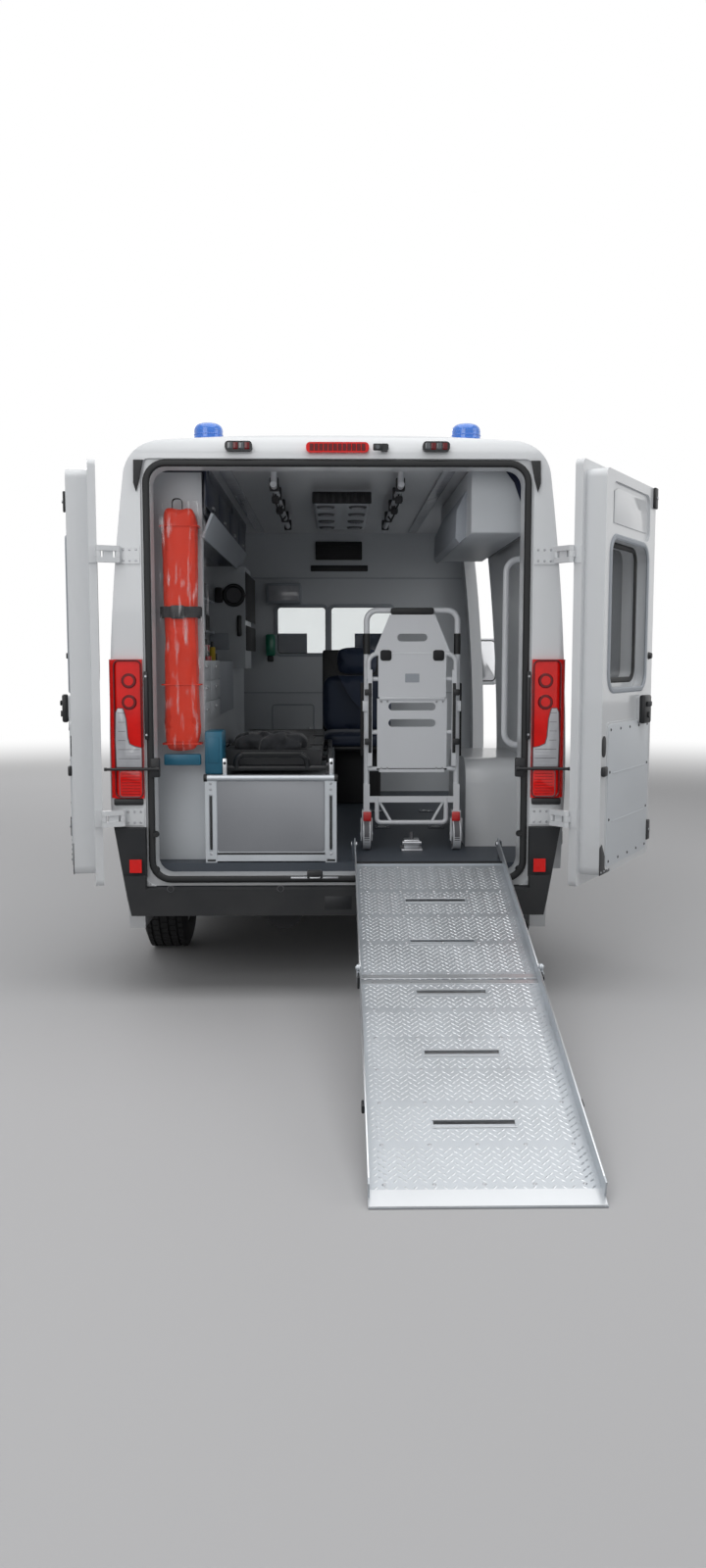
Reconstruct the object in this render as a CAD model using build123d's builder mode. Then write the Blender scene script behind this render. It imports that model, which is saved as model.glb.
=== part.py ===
from build123d import *
import os
from math import atan2, cos, degrees, hypot, radians, sin

# Panel-van ambulance with its rear doors, sliding door and loading ramp open.
# Millimetres. +Y is forward, +X is the vehicle's right, +Z is up.
# The origin is on the ground under the middle of the rear axle.

os.makedirs("parts", exist_ok=True)


# Driving dimensions of the body
wheelbase = 3450.0
front_overhang = 948.0
rear_overhang = 1015.0
body_half = 1025.0
roof_top = 2524.0
sill_bottom = 340.0
wall = 75.0
cab_wall = 55.0
wing_wall = 38.0
roof_thickness = 112.0
floor_top = 600.0
floor_thickness = 120.0
cab_floor_top = 500.0
bulkhead_back = 2085.0
bulkhead_thickness = 40.0
door_gap = 6.0

rear_plane = -rear_overhang
nose = wheelbase + front_overhang
ceiling = roof_top - roof_thickness
floor_bottom = floor_top - floor_thickness
bulkhead_front = bulkhead_back + bulkhead_thickness

# Heights and half widths of the body's cross-section
belt_height = 950.0
belt_half = body_half
sill_half = 1000.0
waist_height = 1640.0
waist_half = 1002.0
shoulder_height = 2330.0
shoulder_half = 937.0
roof_edge_height = 2490.0
roof_edge_half = 790.0

# Side profile of the cab and nose: the windscreen runs from its head down to the scuttle
roof_front = 1900.0
screen_head_y = 2870.0
screen_head_z = 2180.0
scuttle_y = 3650.0
scuttle_z = 1330.0
bonnet_front_y = 4240.0
bonnet_front_z = 1070.0
bumper_top = 640.0
front_bumper_bottom = 270.0

# Wheels
tyre_radius = 340.0
tyre_width = 225.0
rim_radius = 195.0
track_half_front = 905.0
track_half_rear = 895.0
arch_radius = 398.0

# Rear doors and the two-pivot hinges that carry them
door_half = 850.0
door_centre_gap = 4.0
door_bottom = 522.0
door_top = 2398.0
door_outer_y = -1045.0
door_skin = 36.0
door_depth = 128.0
plug_inset = 38.0
opening_half = 822.0
opening_bottom = 560.0
opening_top = 2371.0
seat_gap = 8.0
pivot_x = 960.0
pivot_y = -1050.0
link_length = 84.0
door_pivot_x = pivot_x - link_length
hinge_heights = (830.0, 1990.0)
left_link_swing = 155.0
left_door_swing = 102.5
right_link_swing = 126.0
right_door_swing = 114.0

# Sliding door on the right, standing open along the outside of the body
slide_width = 1270.0
slide_back = 680.0
slide_travel = 1215.0
slide_out = 92.0
slide_bottom = 505.0
slide_top = 2290.0

# Loading ramp: hinged by its cheek tabs inside the opening, folded in two at its seam
ramp_left = 77.0
ramp_right = 753.0
ramp_toe_y = -3120.0
ramp_bar_y = -960.0
ramp_bar_z = 610.0
ramp_pivot_ahead = 150.0
ramp_pivot_up = 24.0
ramp_seam = 1024.0
ramp_flap = 78.0
ramp_cheek = 50.0
deck_thickness = 5.0



# The body's solid form, as three profiles that cut each other: from the side, from behind and from above
def body_form(inset, back):
    with BuildPart(mode=Mode.PRIVATE) as form:
        with BuildSketch(Plane.YZ):
            with BuildLine():
                Polyline((bonnet_front_y + 110, sill_bottom - 90), (back, sill_bottom - 90),
                         (back, shoulder_height + 70))
                ThreePointArc((back, shoulder_height + 70), (back + 22, roof_top - 50), (back + 110, roof_top))
                Line((back + 110, roof_top), (roof_front, roof_top))
                ThreePointArc((roof_front, roof_top), (2420, 2460), (screen_head_y - 50, screen_head_z + 60))
                Line((screen_head_y - 50, screen_head_z + 60), (screen_head_y, screen_head_z))
                ThreePointArc((screen_head_y, screen_head_z), (3290, 1775), (scuttle_y, scuttle_z))
                ThreePointArc((scuttle_y, scuttle_z), (3980, 1215), (bonnet_front_y, bonnet_front_z))
                ThreePointArc((bonnet_front_y, bonnet_front_z), (nose - 50, 880), (nose, bumper_top))
                ThreePointArc((nose, bumper_top), (nose - 12, 420), (bonnet_front_y + 110, sill_bottom - 90))
            make_face()
            if inset:
                offset(amount=-inset)
        extrude(amount=body_half + 100, both=True)
        with BuildSketch(Plane.XZ):
            with BuildLine():
                for side in (1, -1):
                    Line((0, sill_bottom - 100), (side * sill_half, sill_bottom - 100))
                    Line((side * sill_half, sill_bottom - 100), (side * belt_half, belt_height))
                    ThreePointArc((side * belt_half, belt_height), (side * waist_half, waist_height),
                                  (side * shoulder_half, shoulder_height))
                    ThreePointArc((side * shoulder_half, shoulder_height), (side * 886, 2440),
                                  (side * roof_edge_half, roof_edge_height))
                    ThreePointArc((side * roof_edge_half, roof_edge_height), (side * 400, 2515), (0, roof_top))
            make_face()
            if inset:
                offset(amount=-inset)
        extrude(amount=nose + 2000, both=True, mode=Mode.INTERSECT)
        with BuildSketch():
            with BuildLine():
                for side in (1, -1):
                    Line((0, back), (side * (body_half - 45), back))
                    ThreePointArc((side * (body_half - 45), back), (side * (body_half - 13), back + 13),
                                  (side * body_half, back + 45))
                    Line((side * body_half, back + 45), (side * body_half, 2900))
                    ThreePointArc((side * body_half, 2900), (side * 990, 3620), (side * 890, 4110))
                    ThreePointArc((side * 890, 4110), (side * 770, 4275), (side * 540, 4350))
                    ThreePointArc((side * 540, 4350), (side * 270, 4386), (0, nose))
            make_face()
            if inset:
                offset(amount=-inset)
        extrude(amount=roof_top + 100, mode=Mode.INTERSECT)
    return form.part


# A block between two corners
def block(low, high):
    size = [b - a for a, b in zip(low, high)]
    middle = [(a + b) / 2 for a, b in zip(low, high)]
    return Pos(*middle) * Box(*size, mode=Mode.PRIVATE)


# A prism across the vehicle from a side outline of (y, z) points, between two x places
def side_prism(points, x_low, x_high):
    with BuildPart(mode=Mode.PRIVATE) as prism:
        with BuildSketch(Plane.YZ.offset(x_low)):
            with BuildLine():
                Polyline(*points, close=True)
            make_face()
        extrude(amount=x_high - x_low)
    return prism.part


# The right-hand form or its mirror image on the left
def on_side(shape, side):
    return shape if side > 0 else mirror(shape, about=Plane.YZ, mode=Mode.PRIVATE)


# A slab hugging the body's skin: between two depths below the surface
def skin_band(depth, thickness):
    return body_form(depth, rear_plane) - body_form(depth + thickness, rear_plane)


sides = ((-1, "left"), (1, "right"))
far = 1300.0
firewall_back = 3075.0
firewall_front = 3230.0
dash_split = 1345.0
roof_split = 2330.0
frame_front = -900.0
seal_plane = door_outer_y + door_skin + seat_gap
rebate_half = door_half + 12
floor_half = 925.0

outer = body_form(0, rear_plane)
inner_trim = body_form(wall, rear_plane)
inner_cab = body_form(cab_wall, rear_plane)
inner_wing = body_form(wing_wall, rear_plane)
load_space = inner_trim & block((-far, rear_plane - 100, floor_top), (far, bulkhead_front, ceiling))
cab_space = inner_cab & (block((-far, bulkhead_front, cab_floor_top), (far, firewall_back, 1260))
                         + block((-far, bulkhead_front, 1240), (far, scuttle_y - 60, roof_top)))
engine_bay = inner_wing & (block((-far, firewall_front, 200), (far, nose, 1215))
                           + block((-far, scuttle_y + 40, 200), (far, nose, 1400)))
under_floor = block((-floor_half, frame_front, 100), (floor_half, firewall_back, floor_top))

wheel_wells = []
for axle_y, inner_x in ((0, 770.0), (wheelbase, 520.0)):
    for side, tag in sides:
        well = Pos(side * (inner_x + far) / 2, axle_y, tyre_radius) * Rot(0, 90, 0)
        wheel_wells.append(well * Cylinder(arch_radius, far - inner_x))

# Openings in the sides: cab door, its window, quarter light, sliding door
door_front = 3030.0
door_back = 2150.0
cab_door_outline = [(door_back, 470), (door_front, 470), (door_front, 1330), (2690, 2090), (2200, 2115),
                    (door_back, 2060)]
cab_window_outline = [(2225, 1390), (2945, 1390), (2925, 1480), (2650, 2005), (2290, 2035), (2225, 1975)]
quarter_outline = [(3085, 1400), (3440, 1400), (2925, 1890)]
slide_opening = [(slide_back + 30, floor_top - 60), (slide_back + slide_width - 30, floor_top - 60),
                 (slide_back + slide_width - 30, slide_top - 60), (slide_back + 30, slide_top - 60)]
cab_door_hole = side_prism(cab_door_outline, -far, far)
quarter_hole = side_prism(quarter_outline, -far, far)
slide_hole = side_prism(slide_opening, 700, far)

with BuildPart() as shell:
    add(outer)
    for hollow in (load_space, cab_space, engine_bay, under_floor, *wheel_wells):
        add(hollow, mode=Mode.SUBTRACT)

with BuildPart() as windscreen_hole:
    with BuildSketch(Plane.XZ.offset(-2700)):
        with BuildLine():
            Polyline((-815, 1385), (815, 1385), (715, 2125), (-715, 2125), close=True)
        make_face()
        fillet(vertices(), 60)
    extrude(amount=-1300)

# Cab door hinges: the front end carries two ears and a pin at each height, the door a barrel between them
cab_hinge_x = 1034.0
cab_hinge_y = door_front - 3.0
cab_hinge_heights = (700.0, 1160.0)
hinge_pin = 4.0
hinge_barrel = 8.0
running_gap = 0.3


# The front end's half of one cab door hinge, on the right
def fixed_ears(height):
    with BuildPart(mode=Mode.PRIVATE) as ears:
        for level in (-20, 20):
            with Locations((cab_hinge_x, cab_hinge_y, height + level)):
                Cylinder(hinge_barrel, 14)
            with Locations((cab_hinge_x - 10, cab_hinge_y + 12, height + level)):
                Box(30, 20, 14)
        with Locations((cab_hinge_x, cab_hinge_y, height)):
            Cylinder(hinge_pin, 54)
    return ears.part


# The door's half of one cab door hinge, on the right
def door_barrel(height):
    with BuildPart(mode=Mode.PRIVATE) as barrel:
        with Locations((cab_hinge_x, cab_hinge_y, height)):
            Cylinder(hinge_barrel, 24)
        with Locations((cab_hinge_x - 12, cab_hinge_y - 10, height)):
            Box(28, 16, 24)
        with Locations((cab_hinge_x, cab_hinge_y, height)):
            Cylinder(hinge_pin + running_gap, 24, mode=Mode.SUBTRACT)
    return barrel.part


# Centre rail of the sliding door on the outside of the right wall
centre_rail = block((1015, -570, 1195), (1037, slide_back + 25, 1235)) - block((1026, -590, 1207), (1060, 800, 1223))

# Body side walls, from the rear corner to the windscreen pillar
side_region = [(frame_front, 200), (door_front, 200), (door_front, dash_split),
               (3760, dash_split), (3010, 2150), (2600, 2150), (2600, roof_split), (frame_front, roof_split)]
arch_cover_half = 430.0
arch_cover_top = 1040.0
arch_cover_inner = 640.0
cover_block = block((arch_cover_inner, -arch_cover_half, floor_top), (965, arch_cover_half, arch_cover_top))
arch_cover = fillet(cover_block.edges().filter_by(Axis.X).group_by(Axis.Z)[-1], 120)
rear_bumper_top = 510.0
corner_top = 782.0
bumper_bottom = 390.0
bumper_front = -700.0
for side, tag in sides:
    half_space = block((0, -2000, 0), (far, 5000, 3000)) if side > 0 else block((-far, -2000, 0), (0, 5000, 3000))
    with BuildPart() as side_wall:
        add(shell.part)
        add(side_prism(side_region, -far, far), mode=Mode.INTERSECT)
        add(half_space, mode=Mode.INTERSECT)
        add(on_side(arch_cover, side))
        add(cab_door_hole, mode=Mode.SUBTRACT)
        add(quarter_hole, mode=Mode.SUBTRACT)
        add(windscreen_hole.part, mode=Mode.SUBTRACT)
        if side > 0:
            add(slide_hole, mode=Mode.SUBTRACT)
            add(centre_rail)
        add(block((-far, -1100, 0), (far, bumper_front + 2, corner_top + 2)), mode=Mode.SUBTRACT)
        for well in wheel_wells:
            add(well, mode=Mode.SUBTRACT)
    side_wall.part.label = f"side_wall_{tag}"
    export_step(side_wall.part, f"parts/side_wall_{tag}.step")

# Roof, with the raised front that carries down to the windscreen head
roof_region = [(frame_front, roof_split), (2600, roof_split), (2600, 2150), (3010, 2150), (3010, 2700),
               (frame_front, 2700)]
with BuildPart() as roof:
    add(shell.part)
    add(side_prism(roof_region, -far, far), mode=Mode.INTERSECT)
    add(windscreen_hole.part, mode=Mode.SUBTRACT)
roof.part.label = "roof"
export_step(roof.part, "parts/roof.step")

# Rear frame: the ring round the rear opening, its corner posts pocketed for the tail lamps
lamp_bottom = 916.0
lamp_top = 1534.0
lamp_inner = 866.0
lamp_outer = 1014.0
lamp_gap = 1.0


# Plan outline of a tail lamp on the right, wrapped round the rear corner
def lamp_plan(grow):
    with BuildSketch(Plane.XY.offset(lamp_bottom - grow), mode=Mode.PRIVATE) as plan:
        with BuildLine():
            Line((lamp_inner - grow, rear_plane + 30), (lamp_inner - grow, rear_plane - 16))
            Line((lamp_inner - grow, rear_plane - 16), (975, rear_plane - 18))
            ThreePointArc((975, rear_plane - 18), (1006, rear_plane), (lamp_outer + 6, rear_plane + 40))
            Line((lamp_outer + 6, rear_plane + 40), (lamp_outer + 6, rear_plane + 90 + grow))
            Line((lamp_outer + 6, rear_plane + 90 + grow), (985, rear_plane + 90 + grow))
            Line((985, rear_plane + 90 + grow), (985 - grow, rear_plane + 30 + grow))
            Line((985 - grow, rear_plane + 30 + grow), (lamp_inner - grow, rear_plane + 30))
        make_face()
    return extrude(plan.sketch, amount=lamp_top - lamp_bottom + 2 * grow, mode=Mode.PRIVATE)


# Lamps on the roof's rear edge
with BuildPart() as brake_lamp:
    with BuildSketch(Plane.XZ.offset(-rear_plane - 12)):
        with Locations((0, 2452)):
            RectangleRounded(274, 44, 18)
    extrude(amount=30)
brake_lamp.part.label = "brake_lamp"
export_step(brake_lamp.part, "parts/brake_lamp.step")

with BuildPart() as edge_lamps:
    with BuildSketch(Plane.XZ.offset(-rear_plane - 10)):
        for x in (-430, 430):
            with Locations((x, 2456)):
                RectangleRounded(118, 42, 16)
        with Locations((205, 2452)):
            RectangleRounded(34, 30, 8)
    extrude(amount=34)
edge_lamps.part.label = "edge_lamps"
export_step(edge_lamps.part, "parts/edge_lamps.step")

# Hinge knuckle sizes, shared by frame, links and doors
barrel_radius = 12.0
pin_radius = 6.0
barrel_half = 13.0
link_ear = 22.0
leaf_half = 38.0
leaf_thickness = 6.0


# A body leaf with its barrel at one height, on the right
def body_leaf(height):
    with BuildPart(mode=Mode.PRIVATE) as leaf:
        with Locations((pivot_x, pivot_y, height)):
            Cylinder(barrel_radius, 2 * barrel_half)
        with Locations((pivot_x, (pivot_y + rear_plane) / 2, height)):
            Box(12, abs(pivot_y - rear_plane), 2 * barrel_half)
        with Locations((pivot_x - 42, rear_plane - leaf_thickness / 2, height)):
            Box(100, leaf_thickness, 2 * leaf_half)
        with Locations((pivot_x, pivot_y, height)):
            Cylinder(pin_radius + 0.3, 2 * barrel_half, mode=Mode.SUBTRACT)
    return leaf.part


with BuildPart() as rear_frame:
    add(outer)
    add(block((-far, rear_plane - 10, floor_thickness), (far, frame_front, 2700)), mode=Mode.INTERSECT)
    with BuildSketch(Plane.XZ.offset(1100)):
        with Locations((0, (opening_bottom + opening_top) / 2)):
            RectangleRounded(2 * opening_half, opening_top - opening_bottom, 70)
    extrude(amount=-400, mode=Mode.SUBTRACT)
    with BuildSketch(Plane.XZ.offset(1100)):
        with Locations((0, (door_bottom - 8 + door_top + 8) / 2)):
            RectangleRounded(2 * rebate_half, door_top - door_bottom + 16, 40)
    extrude(amount=-(1100 + seal_plane), mode=Mode.SUBTRACT)
    add(block((-far, -1100, 0), (far, -850, door_bottom - 8)), mode=Mode.SUBTRACT)
    for side, tag in sides:
        corner_cut = block((rebate_half, -1100, 0), (far, -850, corner_top + 2))
        add(on_side(corner_cut, side), mode=Mode.SUBTRACT)
        add(on_side(lamp_plan(lamp_gap), side), mode=Mode.SUBTRACT)
        for height in hinge_heights:
            add(on_side(body_leaf(height), side))
    add(brake_lamp.part, mode=Mode.SUBTRACT)
    add(edge_lamps.part, mode=Mode.SUBTRACT)
rear_frame.part.label = "rear_frame"
export_step(rear_frame.part, "parts/rear_frame.step")

with BuildPart() as tail_lamps:
    for side, tag in sides:
        add(on_side(lamp_plan(0), side))
tail_lamps.part.label = "tail_lamps"
export_step(tail_lamps.part, "parts/tail_lamps.step")

# Ramp hinge: where its pins stand, from the slope the deck takes down to the ground
cheek = 5.0
toe_clear = 0.2
ramp_rise = ramp_bar_z - deck_thickness - toe_clear
ramp_slope = degrees(atan2(ramp_rise, ramp_bar_y - ramp_toe_y))
ramp_length = hypot(ramp_rise, ramp_bar_y - ramp_toe_y)
ramp_middle = (ramp_left + ramp_right) / 2
half_width = (ramp_right - ramp_left) / 2
ramp_pin_y = ramp_bar_y + ramp_pivot_ahead * cos(radians(ramp_slope)) - ramp_pivot_up * sin(radians(ramp_slope))
ramp_pin_z = ramp_bar_z + ramp_pivot_ahead * sin(radians(ramp_slope)) + ramp_pivot_up * cos(radians(ramp_slope))
ramp_pin = 7.0
bracket_width = 10.0
side_gap = 2.0

# Anchor plates for a wheelchair, screwed to the load floor
anchor_places = ((250.0, 250.0), (550.0, 250.0), (250.0, 950.0), (550.0, 950.0))
anchor_size = 90.0
anchor_height = 4.0

# Floors: the lined load floor and the lower cab floor, clear of the wheel wells
with BuildPart() as floor:
    add(block((-floor_half, frame_front, floor_bottom), (floor_half, bulkhead_front, floor_top)))
    add(block((-floor_half, bulkhead_front, floor_bottom), (floor_half, firewall_back, cab_floor_top)))
    for side, tag in sides:
        add(on_side(block((arch_cover_inner, -arch_cover_half, 0), (far, arch_cover_half, far)), side),
            mode=Mode.SUBTRACT)
    for well in wheel_wells:
        add(well, mode=Mode.SUBTRACT)
    for side in (1, -1):
        bracket_x = ramp_middle + side * (half_width + side_gap + bracket_width / 2)
        with Locations((bracket_x, ramp_pin_y, (floor_top + ramp_pin_z + 14) / 2)):
            Box(bracket_width, 50, ramp_pin_z + 14 - floor_top)
        with Locations(Location((ramp_middle + side * (half_width - 2), ramp_pin_y, ramp_pin_z), (0, 90, 0))):
            Cylinder(ramp_pin, 24)
    for x, y in anchor_places:
        with Locations((x, y, floor_top + anchor_height / 2)):
            Box(anchor_size, anchor_size, anchor_height)
floor.part.label = "floor"
export_step(floor.part, "parts/floor.step")

# Bulkhead between load space and cab, with a sliding-pane window and a vent
window_left = -421.0
window_right = 400.0
window_bottom = 1572.0
window_top = 1908.0
window_split = -57.0
with BuildPart() as bulkhead:
    add(inner_trim)
    add(block((-far, bulkhead_back, floor_top), (far, bulkhead_front, ceiling)), mode=Mode.INTERSECT)
    for low, high in ((window_left, window_split - 12), (window_split + 12, window_right)):
        with BuildSketch(Plane.XZ.offset(-bulkhead_back + 10)):
            with Locations(((low + high) / 2, (window_bottom + window_top) / 2)):
                RectangleRounded(high - low, window_top - window_bottom, 30)
        extrude(amount=-bulkhead_thickness - 20, mode=Mode.SUBTRACT)
bulkhead.part.label = "bulkhead"
export_step(bulkhead.part, "parts/bulkhead.step")

with BuildPart() as bulkhead_glass:
    for low, high in ((window_left, window_split - 12), (window_split + 12, window_right)):
        with BuildSketch(Plane.XZ.offset(-bulkhead_back - 18)):
            with Locations(((low + high) / 2, (window_bottom + window_top) / 2)):
                RectangleRounded(high - low, window_top - window_bottom, 30)
        extrude(amount=-5)
bulkhead_glass.part.label = "bulkhead_glass"
export_step(bulkhead_glass.part, "parts/bulkhead_glass.step")

# Front end: wings, scuttle, firewall and lamp panel round the engine bay
bonnet_half = 800.0
bonnet_back = 3700.0
bonnet_edge = 4225.0
bonnet_hinge_x = 600.0
bonnet_hinge_y = bonnet_back + 12
bonnet_hinge_z = 1322.0
bonnet_region = [(bonnet_back, 1080), (bonnet_edge, 950), (bonnet_edge, 1500), (bonnet_back, 1500)]
grille_half = 470.0
grille_bottom = 700.0
grille_top = 930.0
headlamp_inner = 560.0
headlamp_bottom = 800.0
headlamp_top = 1060.0
headlamp_back = 4020.0
seat_fit = 0.2
front_region = [(door_front, 200), (nose + 50, 200), (nose + 50, 1200), (bonnet_edge, 1400), (3760, dash_split),
                (door_front, dash_split)]
bumper_zone = block((-far, wheelbase + arch_radius - 20, 0), (far, nose + 100, bumper_top))
headlamp_zone = block((headlamp_inner, headlamp_back, headlamp_bottom), (far, nose + 100, headlamp_top))
with BuildPart() as front_end:
    add(shell.part)
    add(side_prism(front_region, -far, far), mode=Mode.INTERSECT)
    add(side_prism(bonnet_region, -bonnet_half, bonnet_half), mode=Mode.SUBTRACT)
    add(bumper_zone, mode=Mode.SUBTRACT)
    add(windscreen_hole.part, mode=Mode.SUBTRACT)
    for side, tag in sides:
        add(on_side(headlamp_zone, side), mode=Mode.SUBTRACT)
    add(block((-grille_half, bonnet_edge, grille_bottom), (grille_half, nose + 100, grille_top)),
        mode=Mode.SUBTRACT)
    add(block((-480, firewall_front, 200), (480, wheelbase + arch_radius, 300)), mode=Mode.SUBTRACT)
    for side, tag in sides:
        for height in cab_hinge_heights:
            add(on_side(fixed_ears(height), side))
        for level in (-20, 20):
            with Locations(Location((side * bonnet_hinge_x + level, bonnet_hinge_y, bonnet_hinge_z), (0, 90, 0))):
                Cylinder(hinge_barrel, 14)
            with Locations((side * bonnet_hinge_x + level, bonnet_hinge_y - 12, bonnet_hinge_z - 14)):
                Box(14, 24, 28)
        with Locations(Location((side * bonnet_hinge_x, bonnet_hinge_y, bonnet_hinge_z), (0, 90, 0))):
            Cylinder(hinge_pin, 54)
front_end.part.label = "front_end"
export_step(front_end.part, "parts/front_end.step")

with BuildPart() as bonnet:
    add(outer)
    add(inner_wing, mode=Mode.SUBTRACT)
    add(side_prism([(bonnet_back + door_gap, 1090), (bonnet_edge - door_gap, 960),
                    (bonnet_edge - door_gap, 1500), (bonnet_back + door_gap, 1500)],
                   -bonnet_half + door_gap, bonnet_half - door_gap), mode=Mode.INTERSECT)
    for side, tag in sides:
        middle = side * bonnet_hinge_x
        add(block((middle - 32, bonnet_back, 1200), (middle + 32, bonnet_hinge_y + 15, 1400)), mode=Mode.SUBTRACT)
        with Locations(Location((middle, bonnet_hinge_y, bonnet_hinge_z), (0, 90, 0))):
            Cylinder(hinge_barrel, 24)
        with Locations((middle, bonnet_hinge_y + 12, bonnet_hinge_z - 16)):
            Box(24, 24, 28)
        with Locations(Location((middle, bonnet_hinge_y, bonnet_hinge_z), (0, 90, 0))):
            Cylinder(hinge_pin + running_gap, 24, mode=Mode.SUBTRACT)
bonnet.part.label = "bonnet"
export_step(bonnet.part, "parts/bonnet.step")

with BuildPart() as front_bumper:
    add(outer)
    add(inner_wing, mode=Mode.SUBTRACT)
    add(block((-far, wheelbase + arch_radius - 20, front_bumper_bottom), (far, nose + 100, bumper_top - 2)),
        mode=Mode.INTERSECT)
    for well in wheel_wells:
        add(well, mode=Mode.SUBTRACT)
front_bumper.part.label = "front_bumper"
export_step(front_bumper.part, "parts/front_bumper.step")

headlamp_block = block((headlamp_inner + 2, headlamp_back + 2, headlamp_bottom + seat_fit),
                       (far, nose + 100, headlamp_top - 2))
headlamp = (outer - body_form(wing_wall + 30, rear_plane)) & headlamp_block
headlamp = headlamp - side_prism(bonnet_region, -bonnet_half, bonnet_half)
with BuildPart() as headlamps:
    for side, tag in sides:
        add(on_side(headlamp, side))
headlamps.part.label = "headlamps"
export_step(headlamps.part, "parts/headlamps.step")

# Grille: a frame and level bars that follow the nose
grille_bars = 5
with BuildPart() as grille:
    add(outer)
    add(body_form(30, rear_plane), mode=Mode.SUBTRACT)
    add(block((-grille_half + 2, bonnet_edge, grille_bottom + seat_fit), (grille_half - 2, nose + 100, grille_top - 2)),
        mode=Mode.INTERSECT)
    bar_pitch = (grille_top - grille_bottom - 4) / grille_bars
    for row in range(grille_bars):
        slot_low = grille_bottom + 2 + row * bar_pitch + 10
        add(block((-grille_half + 22, bonnet_edge - 50, slot_low), (grille_half - 22, nose + 100,
                                                                    slot_low + bar_pitch - 20)),
            mode=Mode.SUBTRACT)
grille.part.label = "grille"
export_step(grille.part, "parts/grille.step")

# Glass follows the body a little below the skin
glass_depth = 14.0
glass_thickness = 6.0
glass_band = skin_band(glass_depth, glass_thickness)
with BuildPart() as front_glass:
    with BuildSketch(Plane.XZ.offset(-2700)):
        with BuildLine():
            Polyline((-814, 1386), (814, 1386), (714, 2124), (-714, 2124), close=True)
        make_face()
        fillet(vertices(), 60)
    extrude(amount=-1300)
    add(glass_band, mode=Mode.INTERSECT)
    quarter_panes = side_prism(quarter_outline, -far, far) & glass_band
    add(quarter_panes)
front_glass.part.label = "front_glass"
export_step(front_glass.part, "parts/front_glass.step")

# An outline shrunk all round, for a door in its opening or a pane in its window
def shrunk_prism(points, gap, x_low, x_high):
    with BuildPart(mode=Mode.PRIVATE) as prism:
        with BuildSketch(Plane.YZ.offset(x_low)):
            with BuildLine():
                Polyline(*points, close=True)
            make_face()
            offset(amount=-gap, kind=Kind.INTERSECTION)
        extrude(amount=x_high - x_low)
    return prism.part


# Cab doors, each with its mirror, and their panes
mirror_out = 1254.0
mirror_bottom = 1360.0
mirror_top = 1700.0
door_shell = outer - inner_trim
mirror_arm = block((985, 2950, 1330), (1075, 3000, 1385))
mirror_housing = block((1060, 2935, mirror_bottom - 20), (mirror_out, 3010, mirror_top))
door_mirror = mirror_arm + fillet(mirror_housing.edges(), 25)
for side, tag in sides:
    low, high = (0, far) if side > 0 else (-far, 0)
    with BuildPart() as cab_door:
        add(door_shell)
        add(shrunk_prism(cab_door_outline, door_gap, low, high), mode=Mode.INTERSECT)
        add(side_prism(cab_window_outline, low, high), mode=Mode.SUBTRACT)
        add(on_side(door_mirror, side))
        for height in cab_hinge_heights:
            add(on_side(door_barrel(height), side))
    cab_door.part.label = f"cab_door_{tag}"
    export_step(cab_door.part, f"parts/cab_door_{tag}.step")
    with BuildPart() as cab_glass:
        add(glass_band)
        add(side_prism(cab_window_outline, low, high), mode=Mode.INTERSECT)
    cab_glass.part.label = f"cab_glass_{tag}"
    export_step(cab_glass.part, f"parts/cab_glass_{tag}.step")

# Sliding door: the panel of its opening, moved out and back along the body
slide_outline = [(slide_back, slide_bottom), (slide_back + slide_width, slide_bottom),
                 (slide_back + slide_width, slide_top), (slide_back, slide_top)]
slide_window = [(slide_back + 170, 1400), (slide_back + slide_width - 170, 1400),
                (slide_back + slide_width - 200, 2020), (slide_back + 200, 2020)]
slide_place = Pos(slide_out, -slide_travel, 0)
with BuildPart() as slide_closed:
    add(door_shell)
    add(side_prism(slide_outline, 0, far), mode=Mode.INTERSECT)
    add(side_prism(slide_window, 0, far), mode=Mode.SUBTRACT)
slide_edge_back = slide_back - slide_travel
slide_edge_front = slide_edge_back + slide_width
with BuildPart() as sliding_door:
    add(slide_place * slide_closed.part)
    add(block((1028, slide_edge_back + 10, 1207 + seat_fit), (1075, slide_edge_back + 90, 1223 - seat_fit)))
    add(block((936, slide_edge_front - 22, 552), (1060, slide_edge_front, 564)))
    with Locations((950, slide_edge_front - 11, 552)):
        Cylinder(11, 2 * (12 - seat_fit))
    add(block((870, slide_edge_front - 22, 2206), (1000, slide_edge_front, 2218)))
    with Locations((885, slide_edge_front - 11, 2218)):
        Cylinder(11, 2 * (12 - seat_fit))
sliding_door.part.label = "sliding_door"
export_step(sliding_door.part, "parts/sliding_door.step")
with BuildPart() as sliding_glass:
    add(slide_place * (glass_band & side_prism(slide_window, 0, far)))
sliding_glass.part.label = "sliding_glass"
export_step(sliding_glass.part, "parts/sliding_glass.step")

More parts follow.
